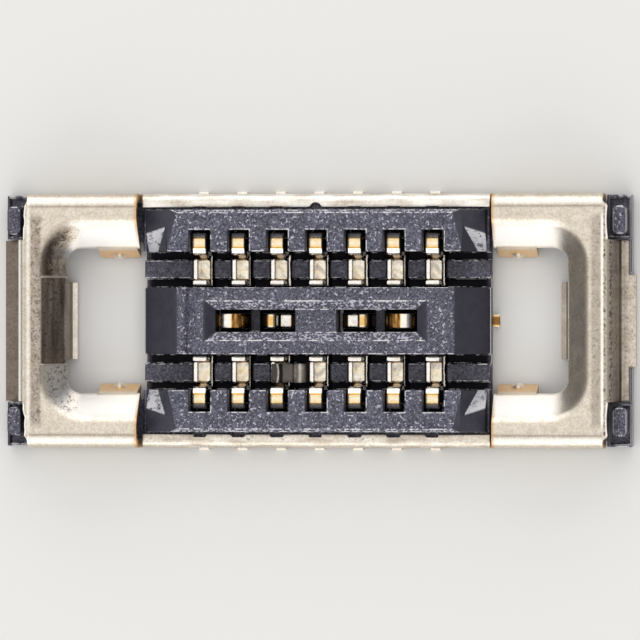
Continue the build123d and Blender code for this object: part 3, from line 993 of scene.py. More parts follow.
@dataclass
class SignalContacts:
    """The two rows of formed signal contacts."""

    pitch: float = 0.35
    per_row: int = 7
    sheet: float = 0.045
    tail_reach: float = 1.165
    hump_outer: float = 0.792
    hump_inner: float = 0.592
    hump_top: float = 0.40
    hump_radius: float = 0.020
    outer_slant: tuple[float, float] = (0.042, 0.017)
    inner_slant: tuple[float, float] = (0.045, 0.028)
    neck_foot: float = 0.552
    leg: float = 0.3175
    leg_top: float = 0.34
    bend: float = 0.045
    tail_width: float = 0.105
    hump_width: float = 0.126
    neck_width: float = 0.075
    blade_width: float = 0.125
    fold_thickness: float = 0.041
    fold_radius: float = 0.012
    fold_gap: float = 0.008
    fold_top: float = 0.30
    width_change: float = 0.007
    # Bands of painted reflection across the hump
    hump_reflection_bands: tuple[tuple[float, float, float], ...] = (
        (0.05, 0.18, 0.16),
        (0.50, 0.05, -0.16),
        (-0.36, 0.06, -0.36),
    )  # place across the hump, width and gain of each band of tint
    outer_highlight: Span = (0.53, 0.60)
    inner_highlight: Span = (-0.42, -0.50)
    step: float = 0.008
    seed: int = 7

    def width_at(self, reach: float) -> float:
        """Width of the strip at a distance from the connector's middle."""
        change = self.width_change
        width = self.blade_width
        for start, wide in (
            (self.neck_foot, self.neck_width),
            (self.hump_inner, self.hump_width),
            (self.hump_outer, self.tail_width),
        ):
            width += (wide - width) * smoothstep(start - change, start + change, reach)
        return width

    def tint_at(self, reach: float, height: float, across: float, luck: float) -> float:
        """Plating tint at a place: pale blade and leg, gold hump with fine lines, painted
        reflection bands and painted white highlights at its bends, and painted shade on the tail
        inside the slot.

        Args:
            reach: Distance from the connector's middle.
            height: Height over the board.
            across: Place along X from the contact's own middle.
            luck: A number from 0 to 1 that sets this contact apart.

        Returns:
            The tint, from 0 for a dark line to 1 for bright silver.
        """
        if reach < self.leg + self.sheet + 0.004:
            return 1.0
        if reach < self.neck_foot + 0.008:
            if height > self.sheet * 1.5:
                return 1.0
            wave = ripple((reach + across * 0.8) * 24, luck * 40, 0)
            return 0.84 + 0.20 * wave - 0.10 * band(reach, 0.445 + 0.02 * luck, 0.018)
        if height < self.hump_top * 0.84 and reach < self.hump_outer - self.sheet:
            return 0.13 + 0.30 * band(height, 0.20, 0.035) * band(across, 0.0, 0.03)
        # Painted shade: the tail is near black inside the slot, pale beyond it
        if height < self.hump_top * 0.6:
            return 0.02 if reach < 0.95 else 0.90
        middle = (self.hump_inner + self.hump_outer) / 2
        half = (self.hump_outer - self.hump_inner) / 2
        share = (reach - middle) / half
        tint = 0.55 + 0.06 * ripple(share * 5, luck * 30, across * 20)
        # Painted reflection bands, then painted white highlights at the outer and inner bends
        tint += sum(gain * band(share, place, width) for place, width, gain in self.hump_reflection_bands)
        tint += 0.45 * smoothstep(*self.outer_highlight, share)
        return tint + 0.50 * smoothstep(*self.inner_highlight, share)

    def film_at(self, reach: float, height: float, across: float, luck: float) -> float:
        """Share of grey film on the blade, in slanted waves.

        Args:
            reach: Distance from the connector's middle.
            height: Height over the board.
            across: Place along X from the contact's own middle.
            luck: A number from 0 to 1 that sets this contact apart.

        Returns:
            The share, which is 0 off the blade.
        """
        if not self.leg + self.sheet < reach < self.neck_foot or height > self.sheet * 1.5:
            return 0.0
        wave = ripple((reach + across * 0.9) * 22, (across - reach * 0.4) * 9, luck * 60)
        fine = ripple(reach * 60, across * 60, luck * 20)
        return max(0.0, min(0.75, 0.10 + 1.15 * wave + 0.25 * fine))

    def draft(self, row: Row, column: float) -> MeshDraft:
        """Draw one contact.

        Args:
            row: The row that it stands in.
            column: Its place along X.

        Returns:
            The draft of the strip and its folded edge.
        """
        half = self.sheet / 2
        outer_run, outer_drop = self.outer_slant
        inner_run, inner_drop = self.inner_slant
        crest = self.hump_top - half
        path = rounded_path(
            [
                (self.tail_reach, half),
                (self.hump_outer - half, half),
                (self.hump_outer - half, crest - outer_drop),
                (self.hump_outer - half - outer_run, crest),
                (self.hump_inner + half + inner_run, crest),
                (self.hump_inner + half, crest - inner_drop),
                (self.neck_foot + half, half),
                (self.leg + half, half),
                (self.leg + half, self.leg_top),
            ],
            [self.bend, *[self.hump_radius] * 4, self.bend, self.bend],
            self.step,
        )
        outward = Vector((0, row.value, 0))
        middle = Vector((column, 0, 0))
        draft = MeshDraft()
        Strip(self.sheet).sweep(
            draft,
            path,
            [self.width_at(p.x) for p in path],
            (Vector((1, 0, 0)), outward, UP),
            middle,
        )
        start = self.leg + self.sheet + self.fold_gap
        reaches = spread([start, self.neck_foot], self.step * 2)
        side = (self.blade_width - self.fold_thickness) / 2
        Strip(self.fold_thickness, self.fold_radius).sweep(
            draft,
            [Vector((reach, 0)) for reach in reaches],
            [self.fold_top] * len(reaches),
            (UP, outward, Vector((1, 0, 0))),
            middle + Vector((-side, 0, self.fold_top / 2)),
        )
        return draft

    def build(self, finishes: Finishes) -> None:
        """Make every contact of both rows.

        Args:
            finishes: The shared materials.
        """
        rng = random.Random(self.seed)
        number = 0
        for row in (Row.REAR, Row.FRONT):
            for column in row_places(self.per_row, self.pitch):
                number += 1
                luck = rng.random()
                piece = self.draft(row, column).build(f"formed_contact_{number:02d}")
                self.dress(piece, column, luck)
                node = f"signal_contact_{number:02d}"
                settle(piece, "gold_plated_contact", [node], finishes.gold)

    def dress(self, piece: bpy.types.Object, column: float, luck: float) -> None:
        """Paint one contact's tint and film.

        Args:
            piece: The contact.
            column: Its place along X.
            luck: A number from 0 to 1 that sets it apart.
        """
        for layer, value_at in (("tint", self.tint_at), ("stain", self.film_at)):
            paint(
                piece,
                layer,
                lambda place, at=value_at: at(abs(place.y), place.z, place.x - column, luck),
            )


@dataclass
class SlotShadeWebs:
    """Thin dark webs on the floor beside the contacts, painted shade that closes the slots, and a
    bright lip along each slot, a painted highlight.
    """

    pitch: float = 0.35
    columns: int = 7
    slot_sides: tuple[float, float] = (-0.073, 0.113)
    blade_side: float = 0.068
    web_gap: float = 0.004
    neck_side: float = 0.044
    slot_span: tuple[float, float] = (0.302, 0.813)
    leg_span: tuple[float, float] = (0.302, 0.312)
    neck_span: tuple[float, float] = (0.562, 0.582)
    hump_span: tuple[float, float] = (0.622, 0.735)
    pocket_span: tuple[float, float] = (0.215, 0.90)
    pocket_sides: tuple[float, float] = (0.068, 0.098)
    bottom: float = 0.002
    top: float = 0.018
    lip_side: float = 0.071
    lip_span: tuple[float, float] = (0.306, 0.600)
    lip_top: float = 0.085
    lip_spans: int = 24
    front_lips: tuple[float, ...] = (0.016, 0.006, 0.014, 0.014, 0.020, 0.006, 0.020)
    rear_lips: tuple[float, ...] = (0.012, 0.006, 0.026, 0.015, 0.024, 0.010, 0.018)
    seed: int = 21

    def block(self, draft: MeshDraft, xs: tuple[float, float], ys: tuple[float, float]) -> None:
        """Add one flat block."""
        corners = [(xs[0], ys[0]), (xs[1], ys[0]), (xs[1], ys[1]), (xs[0], ys[1])]
        draft.tube([[Vector((x, y, z)) for x, y in corners] for z in (self.bottom, self.top)])

    def webs(self) -> MeshDraft:
        """Draw the dark webs beside every contact and under the pockets, painted shade where the
        floor shows through.

        Returns:
            The draft of all webs.
        """
        draft = MeshDraft()
        left, right = self.slot_sides
        beside = self.blade_side - self.web_gap
        for row in Row:
            for middle in row_places(self.columns, self.pitch):
                for near, far, span in (
                    (self.blade_side, right, self.slot_span),
                    (left, beside, self.leg_span),
                    (left, beside, self.hump_span),
                    (self.neck_side, beside, self.neck_span),
                    (left, -self.neck_side, self.neck_span),
                ):
                    ys = (row.value * span[0], row.value * span[1])
                    self.block(draft, (middle + near, middle + far), ys)
        for end in End:
            for row in Row:
                xs = tuple(end.value * place for place in self.pocket_span)
                ys = tuple(row.value * place for place in self.pocket_sides)
                self.block(draft, xs, ys)
        return draft

    def lips(self) -> MeshDraft:
        """Draw the bright lips, painted highlights along the slot edges, each one uneven along its
        length.

        Returns:
            The draft of all lips.
        """
        draft = MeshDraft()
        rng = random.Random(self.seed)
        step = (self.lip_span[1] - self.lip_span[0]) / self.lip_spans
        for row, widths in ((Row.FRONT, self.front_lips), (Row.REAR, self.rear_lips)):
            for middle, width in zip(row_places(self.columns, self.pitch), widths):
                start = middle + self.lip_side
                luck = rng.random()
                rings = []
                for reach in spread(list(self.lip_span), step):
                    stop = start + width * (1 + 0.35 * ripple(reach * 30, luck * 50, 0))
                    low, high = self.top, self.lip_top
                    ring = [(start, low), (stop, low), (stop, high), (start, high)]
                    rings.append([Vector((x, row.value * reach, z)) for x, z in ring])
                draft.tube(rings)
        return draft

    def build(self, finishes: Finishes) -> None:
        """Make the webs and the lips.

        Args:
            finishes: The shared materials.
        """
        # The webs sit low, so they take the near-black painted channel shade.
        webs = self.webs().build("slot_shade_webs")
        settle(webs, "housing_plastic", [], finishes.plastic)
        lips = self.lips().build("slot_highlight_lips")
        # The brightest tint: the lips are painted highlights
        paint(lips, "tint", lambda place: 1.0)
        settle(lips, "gold_plated_contact", [], finishes.gold)


@dataclass
class CentreContacts:
    """The two formed strips along the island's slot."""

    sheet: float = 0.045
    width: float = 0.13
    tail_width: float = 0.12
    pocket_end: float = 0.91
    dome_outer: float = 0.87
    dome_inner: float = 0.655
    dome_run: float = 0.02
    dome_top: float = 0.36
    dome_radius: float = 0.06
    hem_outer: float = 0.46
    hem_inner: float = 0.365
    hem_top: float = 0.29
    hem_radius: float = 0.024
    foot_inner: float = 0.21
    foot_span: Span = (0.262, 0.348)
    left_tail: float = 1.53
    right_tail: float = 1.63
    tail_rim: Span = (0.018, 0.008)
    hem_rim: Span = (0.022, 0.008)
    cream_start: Span = (0.755, 0.775)
    cream_end: Span = (0.868, 0.845)
    tip_reach: Span = (0.675, 0.655)
    tip_side: Span = (0.05, 0.02)
    bend: float = 0.045
    step: float = 0.008

    def tint_at(self, place: Vector) -> float:
        """Plating tint at a place: a pale dome, brown streaks, a gold hem and a white foot.

        Args:
            place: A place on the contact.

        Returns:
            The tint.
        """
        reach, across = abs(place.x), abs(place.y)
        if reach > self.pocket_end:
            return 0.13 + 0.75 * smoothstep(*self.tail_rim, self.tail_width / 2 - across)
        if reach > self.dome_inner - self.dome_run - self.sheet:
            fade = smoothstep(*self.cream_end, reach)
            cream = smoothstep(*self.cream_start, reach) * fade
            streak = ripple(reach * 60, place.y * 14, 2)
            tip = smoothstep(*self.tip_reach, reach) * smoothstep(*self.tip_side, across)
            return 0.13 + 0.13 * streak + 0.28 * tip + 0.85 * cream + 0.20 * (1 - fade)
        if reach > self.hem_inner - 0.01 and place.z > self.hem_top * 0.7:
            rim = min(self.hem_outer - reach, reach - self.hem_inner, self.width / 2 - across)
            return 0.38 + 0.45 * smoothstep(*self.hem_rim, rim)
        first, last = self.foot_span
        return 1.0 if first < reach < last and place.z < self.sheet * 1.5 else 0.0

    def build(self, finishes: Finishes) -> None:
        """Make both contacts.

        Args:
            finishes: The shared materials.
        """
        half = self.sheet / 2
        for end, tail_end in ((End.LEFT, self.left_tail), (End.RIGHT, self.right_tail)):
            path = rounded_path(
                [
                    (tail_end, half),
                    (self.dome_outer - half, half),
                    (self.dome_outer - half, self.dome_top - half),
                    (self.dome_inner + half, self.dome_top - half),
                    (self.dome_inner - self.dome_run + half, half),
                    (self.hem_outer - half, half),
                    (self.hem_outer - half, self.hem_top - half),
                    (self.hem_inner + half, self.hem_top - half),
                    (self.hem_inner + half, half),
                    (self.foot_inner, half),
                ],
                [
                    self.bend,
                    self.dome_radius,
                    self.dome_radius,
                    self.bend,
                    self.bend,
                    self.hem_radius,
                    self.hem_radius,
                    self.bend,
                ],
                self.step,
            )
            draft = MeshDraft()
            widths = [self.tail_width if p.x > self.pocket_end else self.width for p in path]
            outward = Vector((end.value, 0, 0))
            Strip(self.sheet).sweep(draft, path, widths, (Vector((0, 1, 0)), outward, UP))
            side = end.name.lower()
            piece = draft.build(f"formed_centre_contact_{side}")
            paint(piece, "tint", self.tint_at)
            settle(piece, "gold_plated_contact", [f"centre_contact_{side}"], finishes.gold)


@dataclass
class Sheet:
    """Turns an open sheet of quads into sheet metal with a thickness and sheared edges."""

    thickness: float = 0.07
    edge_width: float = 0.010
    edge_segments: int = 2
    edge_angle: float = 48.0

    def thicken(
        self, piece: bpy.types.Object, thin: "list[int] | None" = None, thinned: float = 0.25
    ) -> None:
        """Give the sheet its thickness and round its edges.

        Args:
            piece: The open sheet.
            thin: Vertices over which the metal was drawn thin.
            thinned: Share of the thickness that is left there.
        """
        body = piece.modifiers.new("sheet_thickness", "SOLIDIFY")
        body.thickness = self.thickness * MM
        body.offset = -1.0
        body.material_offset_rim = 1
        if thin is not None:
            full = piece.vertex_groups.new(name="full_thickness")
            everything = set(range(len(piece.data.vertices)))
            full.add(sorted(everything - set(thin)), 1.0, "REPLACE")
            body.vertex_group = full.name
            body.thickness_vertex_group = thinned
        soften(piece, self.edge_width, self.edge_segments, self.edge_angle)


@dataclass
class EndShell:
    """One drawn and folded end shell, from the funnel's lip out to the solder foot."""

    end: End
    plate_start: float = 1.595
    plate_end: float = 2.633
    top: float = 0.57
    half_width: float = 1.14
    bend_radius: float = 0.10
    skirt_end: float = 2.585
    skirt_bottom: float = 0.05
    corner_start: float = 1.025
    corner_stop: float = 1.07
    flat_x: float = 2.54
    flat_y: float = 1.01
    groove_step: float = 0.014
    groove_depth: float = 0.0045
    crease_x: float = 2.604
    panel_radius: float = 0.04
    rim_end: float = 2.46
    rim_half: float = 0.902
    rim_corner: float = 0.40
    rim_radius: float = 0.14
    lip_end: float = 2.26
    lip_half: float = 0.649
    lip_corner: float = 0.13
    lip_height: float = 0.32
    tab_start: float = 1.62
    tab_stop: float = 1.98
    tab_foot: float = 0.569
    tab_bottom: float = 0.06
    tab_bend: float = 0.027
    dimple_x: float = 1.805
    dimple_z: float = 0.15
    dimple_radius: float = 0.075
    dimple_height: float = 0.042
    end_tab_half: float = 0.345
    end_tab_run: float = 0.072
    end_tab_drop: float = 0.020
    end_tab_level: float = 0.078
    end_tab_curl: float = 0.022
    ragged: float = 0.020
    ragged_taper: float = 0.030
    peg_relief: float = 0.012
    peg_middle: float = 0.895
    peg_half: float = 0.16
    wall_half: float = 0.723
    wall_top: float = 2.6647
    wall_foot: float = 2.7147
    foot_top: float = 0.07
    foot_reach: float = 2.855
    wall_bend: float = 0.085
    foot_bend: float = 0.025
    tongue_half: float = 0.41
    tongue_start: float = 2.79
    recess_half: float = 0.39
    recess_depth: float = 0.014
    recess_edge: float = 0.006
    step: float = 0.0125
    fine_step: float = 0.008
    corner_spans: int = 32
    slope_spans: int = 26
    rim_spans: int = 8
    flat_spans: int = 6
    edge_spans: int = 5
    turn_spans: int = 5
    tab_spans: int = 14
    end_tab_spans: int = 12
    curl_spans: int = 6
    bend_spans: int = 9
    skirt_step: float = 0.15
    panel_start: float = 2.20
    curl_margin: float = 0.01
    shaded_end: Span = (2.14, 2.26)
    corner_reach: Span = (2.06, 2.24)
    corner_side: Span = (0.50, 0.56)
    smudge_reach: Span = (2.16, 2.28)
    ear_side: Span = (0.98, 0.90)
    crease_side: Span = (1.06, 1.0)
    arm_end: Span = (2.60, 2.57)
    edge_highlight: Span = (0.016, 0.004)
    left_strip: tuple[Span, Span] = ((2.44, 2.47), (2.56, 2.545))
    right_strip: tuple[Span, Span] = ((2.47, 2.50), (2.572, 2.562))
    left_highlight: float = 2.575
    right_highlight: float = 2.583
    seam: float = 0.001

    def arm_columns(self) -> list[Column]:
        """Places on lip, rim and flat along the straight arm, up to the lip's corner."""
        lip_stop = self.lip_end - self.lip_corner
        rim_stop = self.rim_end - self.rim_corner
        flat_stop = (self.rim_end + rim_stop) / 2 - self.rim_corner / 3
        columns = []
        for x in spread([self.plate_start, self.tab_start, self.tab_stop, lip_stop], self.step):
            share = max(0.0, (x - self.tab_stop) / (lip_stop - self.tab_stop))
            base = min(x, self.tab_stop)
            columns.append(
                (
                    Vector((x, self.lip_half)),
                    Vector((base + share * (rim_stop - self.tab_stop), self.rim_half)),
                    Vector((base + share * (flat_stop - self.tab_stop), self.flat_y)),
                )
            )
        return columns

    def corner_columns(self, flat_start: float) -> list[Column]:
        """Places on lip, rim and flat round the funnel's corner.

        Args:
            flat_start: Where the arm's last column stands on the flat.

        Returns:
            The columns after the arm's last one.
        """
        half = self.corner_spans // 2
        quarter = half // 2
        run = (self.flat_x - flat_start) / half
        flat = [Vector((flat_start + run * k, self.flat_y)) for k in range(half + 1)]
        low = self.rim_half - self.rim_corner
        for start, stop in ((self.flat_y, self.wall_half), (self.wall_half, low)):
            ys = [start + (stop - start) * k / quarter for k in range(1, quarter + 1)]
            flat.extend(Vector((self.flat_x, y)) for y in ys)
        lip_centre = Vector((self.lip_end - self.lip_corner, self.lip_half - self.lip_corner))
        rim_centre = Vector((self.rim_end - self.rim_corner, self.rim_half - self.rim_corner))
        columns = []
        for k in range(1, self.corner_spans + 1):
            angle = math.pi / 2 * (1 - k / self.corner_spans)
            way = Vector((math.cos(angle), math.sin(angle)))
            lip = lip_centre + way * self.lip_corner
            columns.append((lip, rim_centre + way * self.rim_corner, flat[k]))
        return columns

    def end_columns(self) -> list[Column]:
        """Places on lip, rim and flat along the end, from the corner to the middle."""
        breaks = [self.tongue_half + 0.05, self.tongue_half, self.recess_half]
        breaks += [self.recess_half - self.recess_edge, self.end_tab_half, 0.0]
        return [
            (Vector((self.lip_end, y)), Vector((self.rim_end, y)), Vector((self.flat_x, y)))
            for y in spread(breaks, self.step * 1.5)
        ]

    def columns(self) -> list[Column]:
        """All columns of the U, from one arm's start round to the other's."""
        half = self.arm_columns()
        half += self.corner_columns(half[-1][2].x)
        half += self.end_columns()
        other = [tuple(Vector((p.x, -p.y)) for p in column) for column in reversed(half[:-1])]
        return half + other

    def recessed(self, y: float) -> bool:
        """Whether the coined panel of the left shell covers this place across the end."""
        return self.end is End.LEFT and abs(y) < self.recess_half - self.recess_edge / 2

    def raised(self, column: Column) -> Column:
        """A column's places in space, at the heights of lip, rim and flat."""
        levels = (self.lip_height, self.top, self.top)
        return tuple(place.to_3d() + UP * level for place, level in zip(column, levels))

    def profile(self, column: Column) -> list[Vector]:
        """Run one column from just above the lip over the rim to the flat.

        Args:
            column: Its places on lip, rim and flat.

        Returns:
            The column's places in space.
        """
        lip, rim, flat = self.raised(column)
        down = (lip - rim).normalized()
        out = (flat - rim).normalized()
        coined = self.recessed(column[1].y) and column[1].x > self.rim_end - self.seam
        radius = self.panel_radius if coined else self.rim_radius
        cut = radius * math.tan(down.angle(-out) / 2)
        first = lip - down * self.tab_bend
        turn = rim + down * cut
        places = [first.lerp(turn, k / self.slope_spans) for k in range(self.slope_spans)]
        if coined:
            inward = Vector((0, 1, 0)).cross(down) * self.recess_depth
            inward = inward if inward.z < 0 else -inward
            places = [place + inward for place in places]
        places += bent(turn, rim, rim + out * cut, self.rim_spans)
        start = places[-1]
        places += [start.lerp(flat, k / self.flat_spans) for k in range(1, self.flat_spans + 1)]
        return places

    def lip_point(self, column: Column, above: Vector) -> Vector:
        """The lip's own place in a column, sunk with the coined panel where that covers it.

        Args:
            column: The column's places on lip, rim and flat.
            above: The column's place just above the lip.

        Returns:
            The place on the lip.
        """
        lip, rim, _ = self.raised(column)
        return above + (lip - rim).normalized() * self.tab_bend

    def tab(self, above: list[Vector], lips: list[Vector], run: Vector) -> list[list[Vector]]:
        """Rows of a tab that turns down from the slope.

        Args:
            above: Places just above the lip.
            lips: Places on the lip.
            run: From the lip to the tab's lower edge.

        Returns:
            The tab's rows, from the slope to its lower edge.
        """
        strips = []
        for upper, lip in zip(above, lips):
            turn_end = lip + run.normalized() * self.tab_bend
            bottom = lip + run
            strip = bent(upper, lip, turn_end, self.turn_spans)
            shares = [k / self.tab_spans for k in range(1, self.tab_spans + 1)]
            strip += [turn_end.lerp(bottom, share) for share in shares]
            strips.append(strip)
        return [list(row) for row in zip(*strips)]

    def end_tab(self, above: list[Vector], lips: list[Vector]) -> list[list[Vector]]:
        """Rows of the end tab, steep below the lip and curled level at its foot.

        Args:
            above: Places just above the lip.
            lips: Places on the lip.

        Returns:
            The tab's rows, from the slope to its tip.
        """
        fall = self.end_tab_level - self.lip_height
        strips = []
        for upper, lip in zip(above, lips):
            foot = lip + Vector((-self.end_tab_drop, 0, fall))
            tip = lip + Vector((-self.end_tab_run, 0, fall))
            way = (foot - lip).normalized()
            strip = bent(upper, lip, lip + way * self.tab_bend, self.turn_spans)
            start = strip[-1]
            curl = foot - way * self.end_tab_curl
            count = self.end_tab_spans
            strip += [start.lerp(curl, k / count) for k in range(1, count)]
            level = foot + (tip - foot).normalized() * self.end_tab_curl
            strip += [*bent(curl, foot, level, self.curl_spans), tip]
            strips.append(strip)
        return [list(row) for row in zip(*strips)]

    def dimpled(self, rows: list[list[Vector]], side: int) -> list[list[Vector]]:
        """Push a dimple out of a side tab, towards the window.

        Args:
            rows: The tab's rows.
            side: Sign of the tab's Y.

        Returns:
            The rows with the dimple.
        """
        centre = Vector((self.dimple_x, self.dimple_z))
        for row in rows:
            for place in row:
                gap = (Vector((place.x, place.z)) - centre).length / self.dimple_radius
                if gap < 1.0:
                    swell = (0.5 + 0.5 * math.cos(math.pi * gap)) ** 0.7
                    place.y -= side * self.dimple_height * swell
        return rows

    def groove(self, y: float) -> float:
        """Height of the plate's border, with the crease that runs along each side."""
        share = (abs(y) - self.flat_y) / (2 * self.groove_step)
        inside = 0.0 < share < 1.0
        return self.top - (self.groove_depth * math.sin(math.pi * share) ** 2 if inside else 0.0)

    def ear_edge(self, y: float) -> float:
        """Place of the plate's end edge: ragged on the left, hollowed at each peg on the right."""
        if self.end is End.LEFT:
            taper = self.ragged_taper * smoothstep(self.wall_half, self.flat_y, abs(y))
            tear = self.ragged * max(0.0, 0.5 + ripple(y * 11, 3.1, 0))
            return max(self.skirt_end, self.plate_end - taper * 0.6 - tear)
        share = (abs(y) - self.peg_middle) / self.peg_half
        return self.plate_end - self.peg_relief * max(0.0, 1 - share * share)

    def crease(self, start: float) -> list[float]:
        """Places of the crease's start, middle and end beside the flat."""
        return [start + k * self.groove_step for k in range(3)]

    def outward(self, edge: float) -> list[float]:
        """Places from the flat's end out to an edge."""
        inner = spread([*self.crease(self.flat_x), self.skirt_end], self.fine_step)
        run = edge - self.skirt_end
        shares = range(1, self.edge_spans + 1)
        return inner + [self.skirt_end + run * k / self.edge_spans for k in shares]

    def side_border(self, xs: list[float], side: int) -> list[list[Vector]]:
        """Rows from the flat over the outer bend and down the skirt.

        Args:
            xs: Places along the arm, up to the flat's corner.
            side: Sign of the arm's Y.

        Returns:
            The rows, each one from the housing's side to the clipped corner.
        """
        bend_y = self.half_width - self.bend_radius
        line = [(y, None) for y in (*self.crease(self.flat_y), bend_y)]
        for k in range(1, self.bend_spans + 1):
            angle = math.pi / 2 * (1 - k / self.bend_spans)
            line.append(
                (
                    bend_y + self.bend_radius * math.cos(angle),
                    self.top - self.bend_radius + self.bend_radius * math.sin(angle),
                )
            )
        for z in spread([self.top - self.bend_radius, self.skirt_bottom], self.skirt_step)[1:]:
            line.append((self.half_width, z))
        rows = []
        for y, z in line:
            share = (y - self.corner_start) / (self.corner_stop - self.corner_start)
            edge = self.ear_edge(side * y)
            clipped = edge + (self.skirt_end - edge) * min(1.0, max(0.0, share))
            height = self.groove(y) if z is None else z
            places = xs[:-1] + self.outward(clipped)
            rows.append([Vector((x, side * y, height)) for x in places])
        return rows

    def ear(self, ys: list[float]) -> list[list[Vector]]:
        """Rows of the flat plate beside the end wall.

        Args:
            ys: Places across the plate, from the flat's corner to the end wall.

        Returns:
            The rows, each one at one place along X.
        """
        columns = []
        for y in ys:
            height = self.groove(y)
            columns.append([Vector((x, y, height)) for x in self.outward(self.ear_edge(y))])
        return [list(row) for row in zip(*columns)]

    def end_border(self, ys: list[float]) -> list[list[Vector]]:
        """Rows from the flat over the end bend, down the wall and out along the foot.

        Args:
            ys: Places across the end wall.

        Returns:
            The rows, each one at one place of the folded path.
        """
        crease = self.crease(self.flat_x)
        fold = rounded_path(
            [
                (crease[-1], self.top),
                (self.wall_top, self.top),
                (self.wall_foot, self.foot_top),
                (self.tongue_start, self.foot_top),
            ],
            [self.wall_bend, self.foot_bend],
            self.fine_step * 1.5,
        )
        line = [Vector((x, self.top)) for x in spread(crease, self.fine_step)[:-1]] + fold
        return [[Vector((place.x, y, place.y)) for y in ys] for place in line]

    def draft(self) -> MeshDraft:
        """Draw the whole shell as one open sheet.

        Returns:
            The draft, still on the positive side of X.
        """
        draft = MeshDraft()
        columns = self.columns()
        strips = [self.profile(column) for column in columns]
        draft.grid([list(row) for row in zip(*strips)])
        above = [strip[0] for strip in strips]
        lips = [self.lip_point(column, strip[0]) for column, strip in zip(columns, strips)]

        marks = [self.hanging(lip) for lip in lips]
        pairs = zip(marks, marks[1:])
        kinds = [mark if mark is after else Hanging.NOTHING for mark, after in pairs]
        start = 0
        for kind, run in groupby(kinds):
            stop = start + len(list(run))
            self.hang(draft, kind, above[start : stop + 1], lips[start : stop + 1])
            start = stop
        flats = [column[2] for column in columns]
        at_end = [p.y for p in flats if abs(p.x - self.flat_x) < self.seam]
        for side in (1, -1):
            arm = sorted(p.x for p in flats if abs(p.y - side * self.flat_y) < self.seam)
            draft.grid(self.side_border(arm, side))
            draft.grid(self.ear(sorted(y for y in at_end if y * side > self.wall_half - self.seam)))
        across = [y for y in at_end if abs(y) < self.wall_half + self.seam]
        draft.grid(self.end_border(across))
        if self.end is End.RIGHT:
            across = [y for y in across if abs(y) < self.tongue_half + self.seam]
        reaches = (self.tongue_start, self.foot_reach)
        draft.grid([[Vector((x, y, self.foot_top)) for y in across] for x in reaches])
        return draft

    def hanging(self, lip: Vector) -> Hanging:
        """What hangs from a place on the lip."""
        level = abs(abs(lip.y) - self.lip_half) < self.seam
        if level and self.tab_start - self.seam < lip.x < self.tab_stop + self.seam:
            return Hanging.SIDE_TAB
        at_end = lip.x > self.lip_end - 2 * self.recess_depth
        narrow = abs(lip.y) < self.end_tab_half + self.seam
        return Hanging.END_TAB if at_end and narrow else Hanging.NOTHING

    def hang(
        self, draft: MeshDraft, kind: Hanging, above: list[Vector], lips: list[Vector]
    ) -> None:
        """Add the lip's turn and what hangs from it.

        Args:
            draft: The draft to add to.
            kind: What hangs from this stretch.
            above: Places just above the lip.
            lips: Places on the lip.
        """
        if kind is Hanging.SIDE_TAB:
            side = 1 if lips[0].y > 0 else -1
            inward = side * (self.tab_foot - self.lip_half)
            run = Vector((0, inward, self.tab_bottom - self.lip_height))
            draft.grid(self.dimpled(self.tab(above, lips, run), side), zone=2)
        elif kind is Hanging.END_TAB:
            draft.grid(self.end_tab(above, lips))
        else:
            draft.grid([above, lips])

    def end_tab_tint(self, place: Vector) -> float:
        """Tint of the end tab: dark and streaked where it is steep, painted shade there, lighter at
        its foot.
        """
        level = smoothstep(self.end_tab_level + 0.03, self.end_tab_level + 0.005, place.z)
        foot = 0.56 if self.end is End.LEFT else 0.26
        return 0.10 + 0.10 * ripple(place.z * 40, place.y * 4, 2.0) + (foot - 0.10) * level

    def side_tab_tint(self, place: Vector) -> float:
        """Tint of a side tab: gold, with a white dimple."""
        dimple = Vector((place.x - self.dimple_x, place.z - self.dimple_z)).length
        gold = smoothstep(self.lip_height + 0.01, self.lip_height - 0.08, place.z)
        white = smoothstep(self.dimple_radius * 0.85, self.dimple_radius * 0.55, dimple)
        return 1.0 - 0.48 * gold * (1 - white)

    def corner_look(self, place: Vector, on_slope: float) -> tuple[float, float]:
        """Tint and pits of the left funnel's corners: darkened as painted shade, smudged, with a
        painted highlight by the lip.

        Args:
            place: A place on the slope, on the positive side of X.
            on_slope: Share of the slope's own look.

        Returns:
            The tint and the share of pits.
        """
        x, y, rear = place.x, abs(place.y), place.y > 0
        centre = Vector((self.rim_end - self.rim_corner, self.rim_half - self.rim_corner))
        radius = (Vector((x, y)) - centre).length
        corner = smoothstep(*self.corner_reach, x)
        lip_highlight = band(radius, 0.215, 0.035) * smoothstep(*self.corner_side, y)
        if rear:
            smudge = band(radius, 0.365, 0.05) * smoothstep(*self.smudge_reach, x)
        else:
            smudge = 0.6 * band(radius, 0.24, 0.03) * band(x, 2.21, 0.05)
        # Painted shade: the corners darken, the rear one more
        dull = (0.56 if rear else 0.02) + 0.22 * ripple(x * 22, place.y * 22, 3.0)
        tint = 0.5 + on_slope * (0.5 - dull * corner)
        tint += -0.36 * smudge + 0.5 * lip_highlight * (1.0 if rear else 0.4)
        return tint, corner * on_slope * (0.26 + 0.40 * smudge) * (1 - 0.8 * lip_highlight)

    def slope_look(self, place: Vector) -> tuple[float, float]:
        """Tint and pits inside the funnel: white side slopes and a darker end slope, painted
        reflection and painted shade, and dark left corners.

        Args:
            place: A place inside the rim, on the positive side of X.

        Returns:
            The tint and the share of pits.
        """
        on_slope = smoothstep(self.top, self.top - 0.08, place.z)
        y = abs(place.y)
        below = smoothstep(self.lip_height + 0.01, self.lip_height - 0.03, place.z)
        if below > 0.5 and y < self.end_tab_half + self.seam:
            return self.end_tab_tint(place), 0.0
        if below > 0.0 and place.x < self.tab_stop + self.seam:
            return self.side_tab_tint(place), 0.0
        if self.end is End.RIGHT:
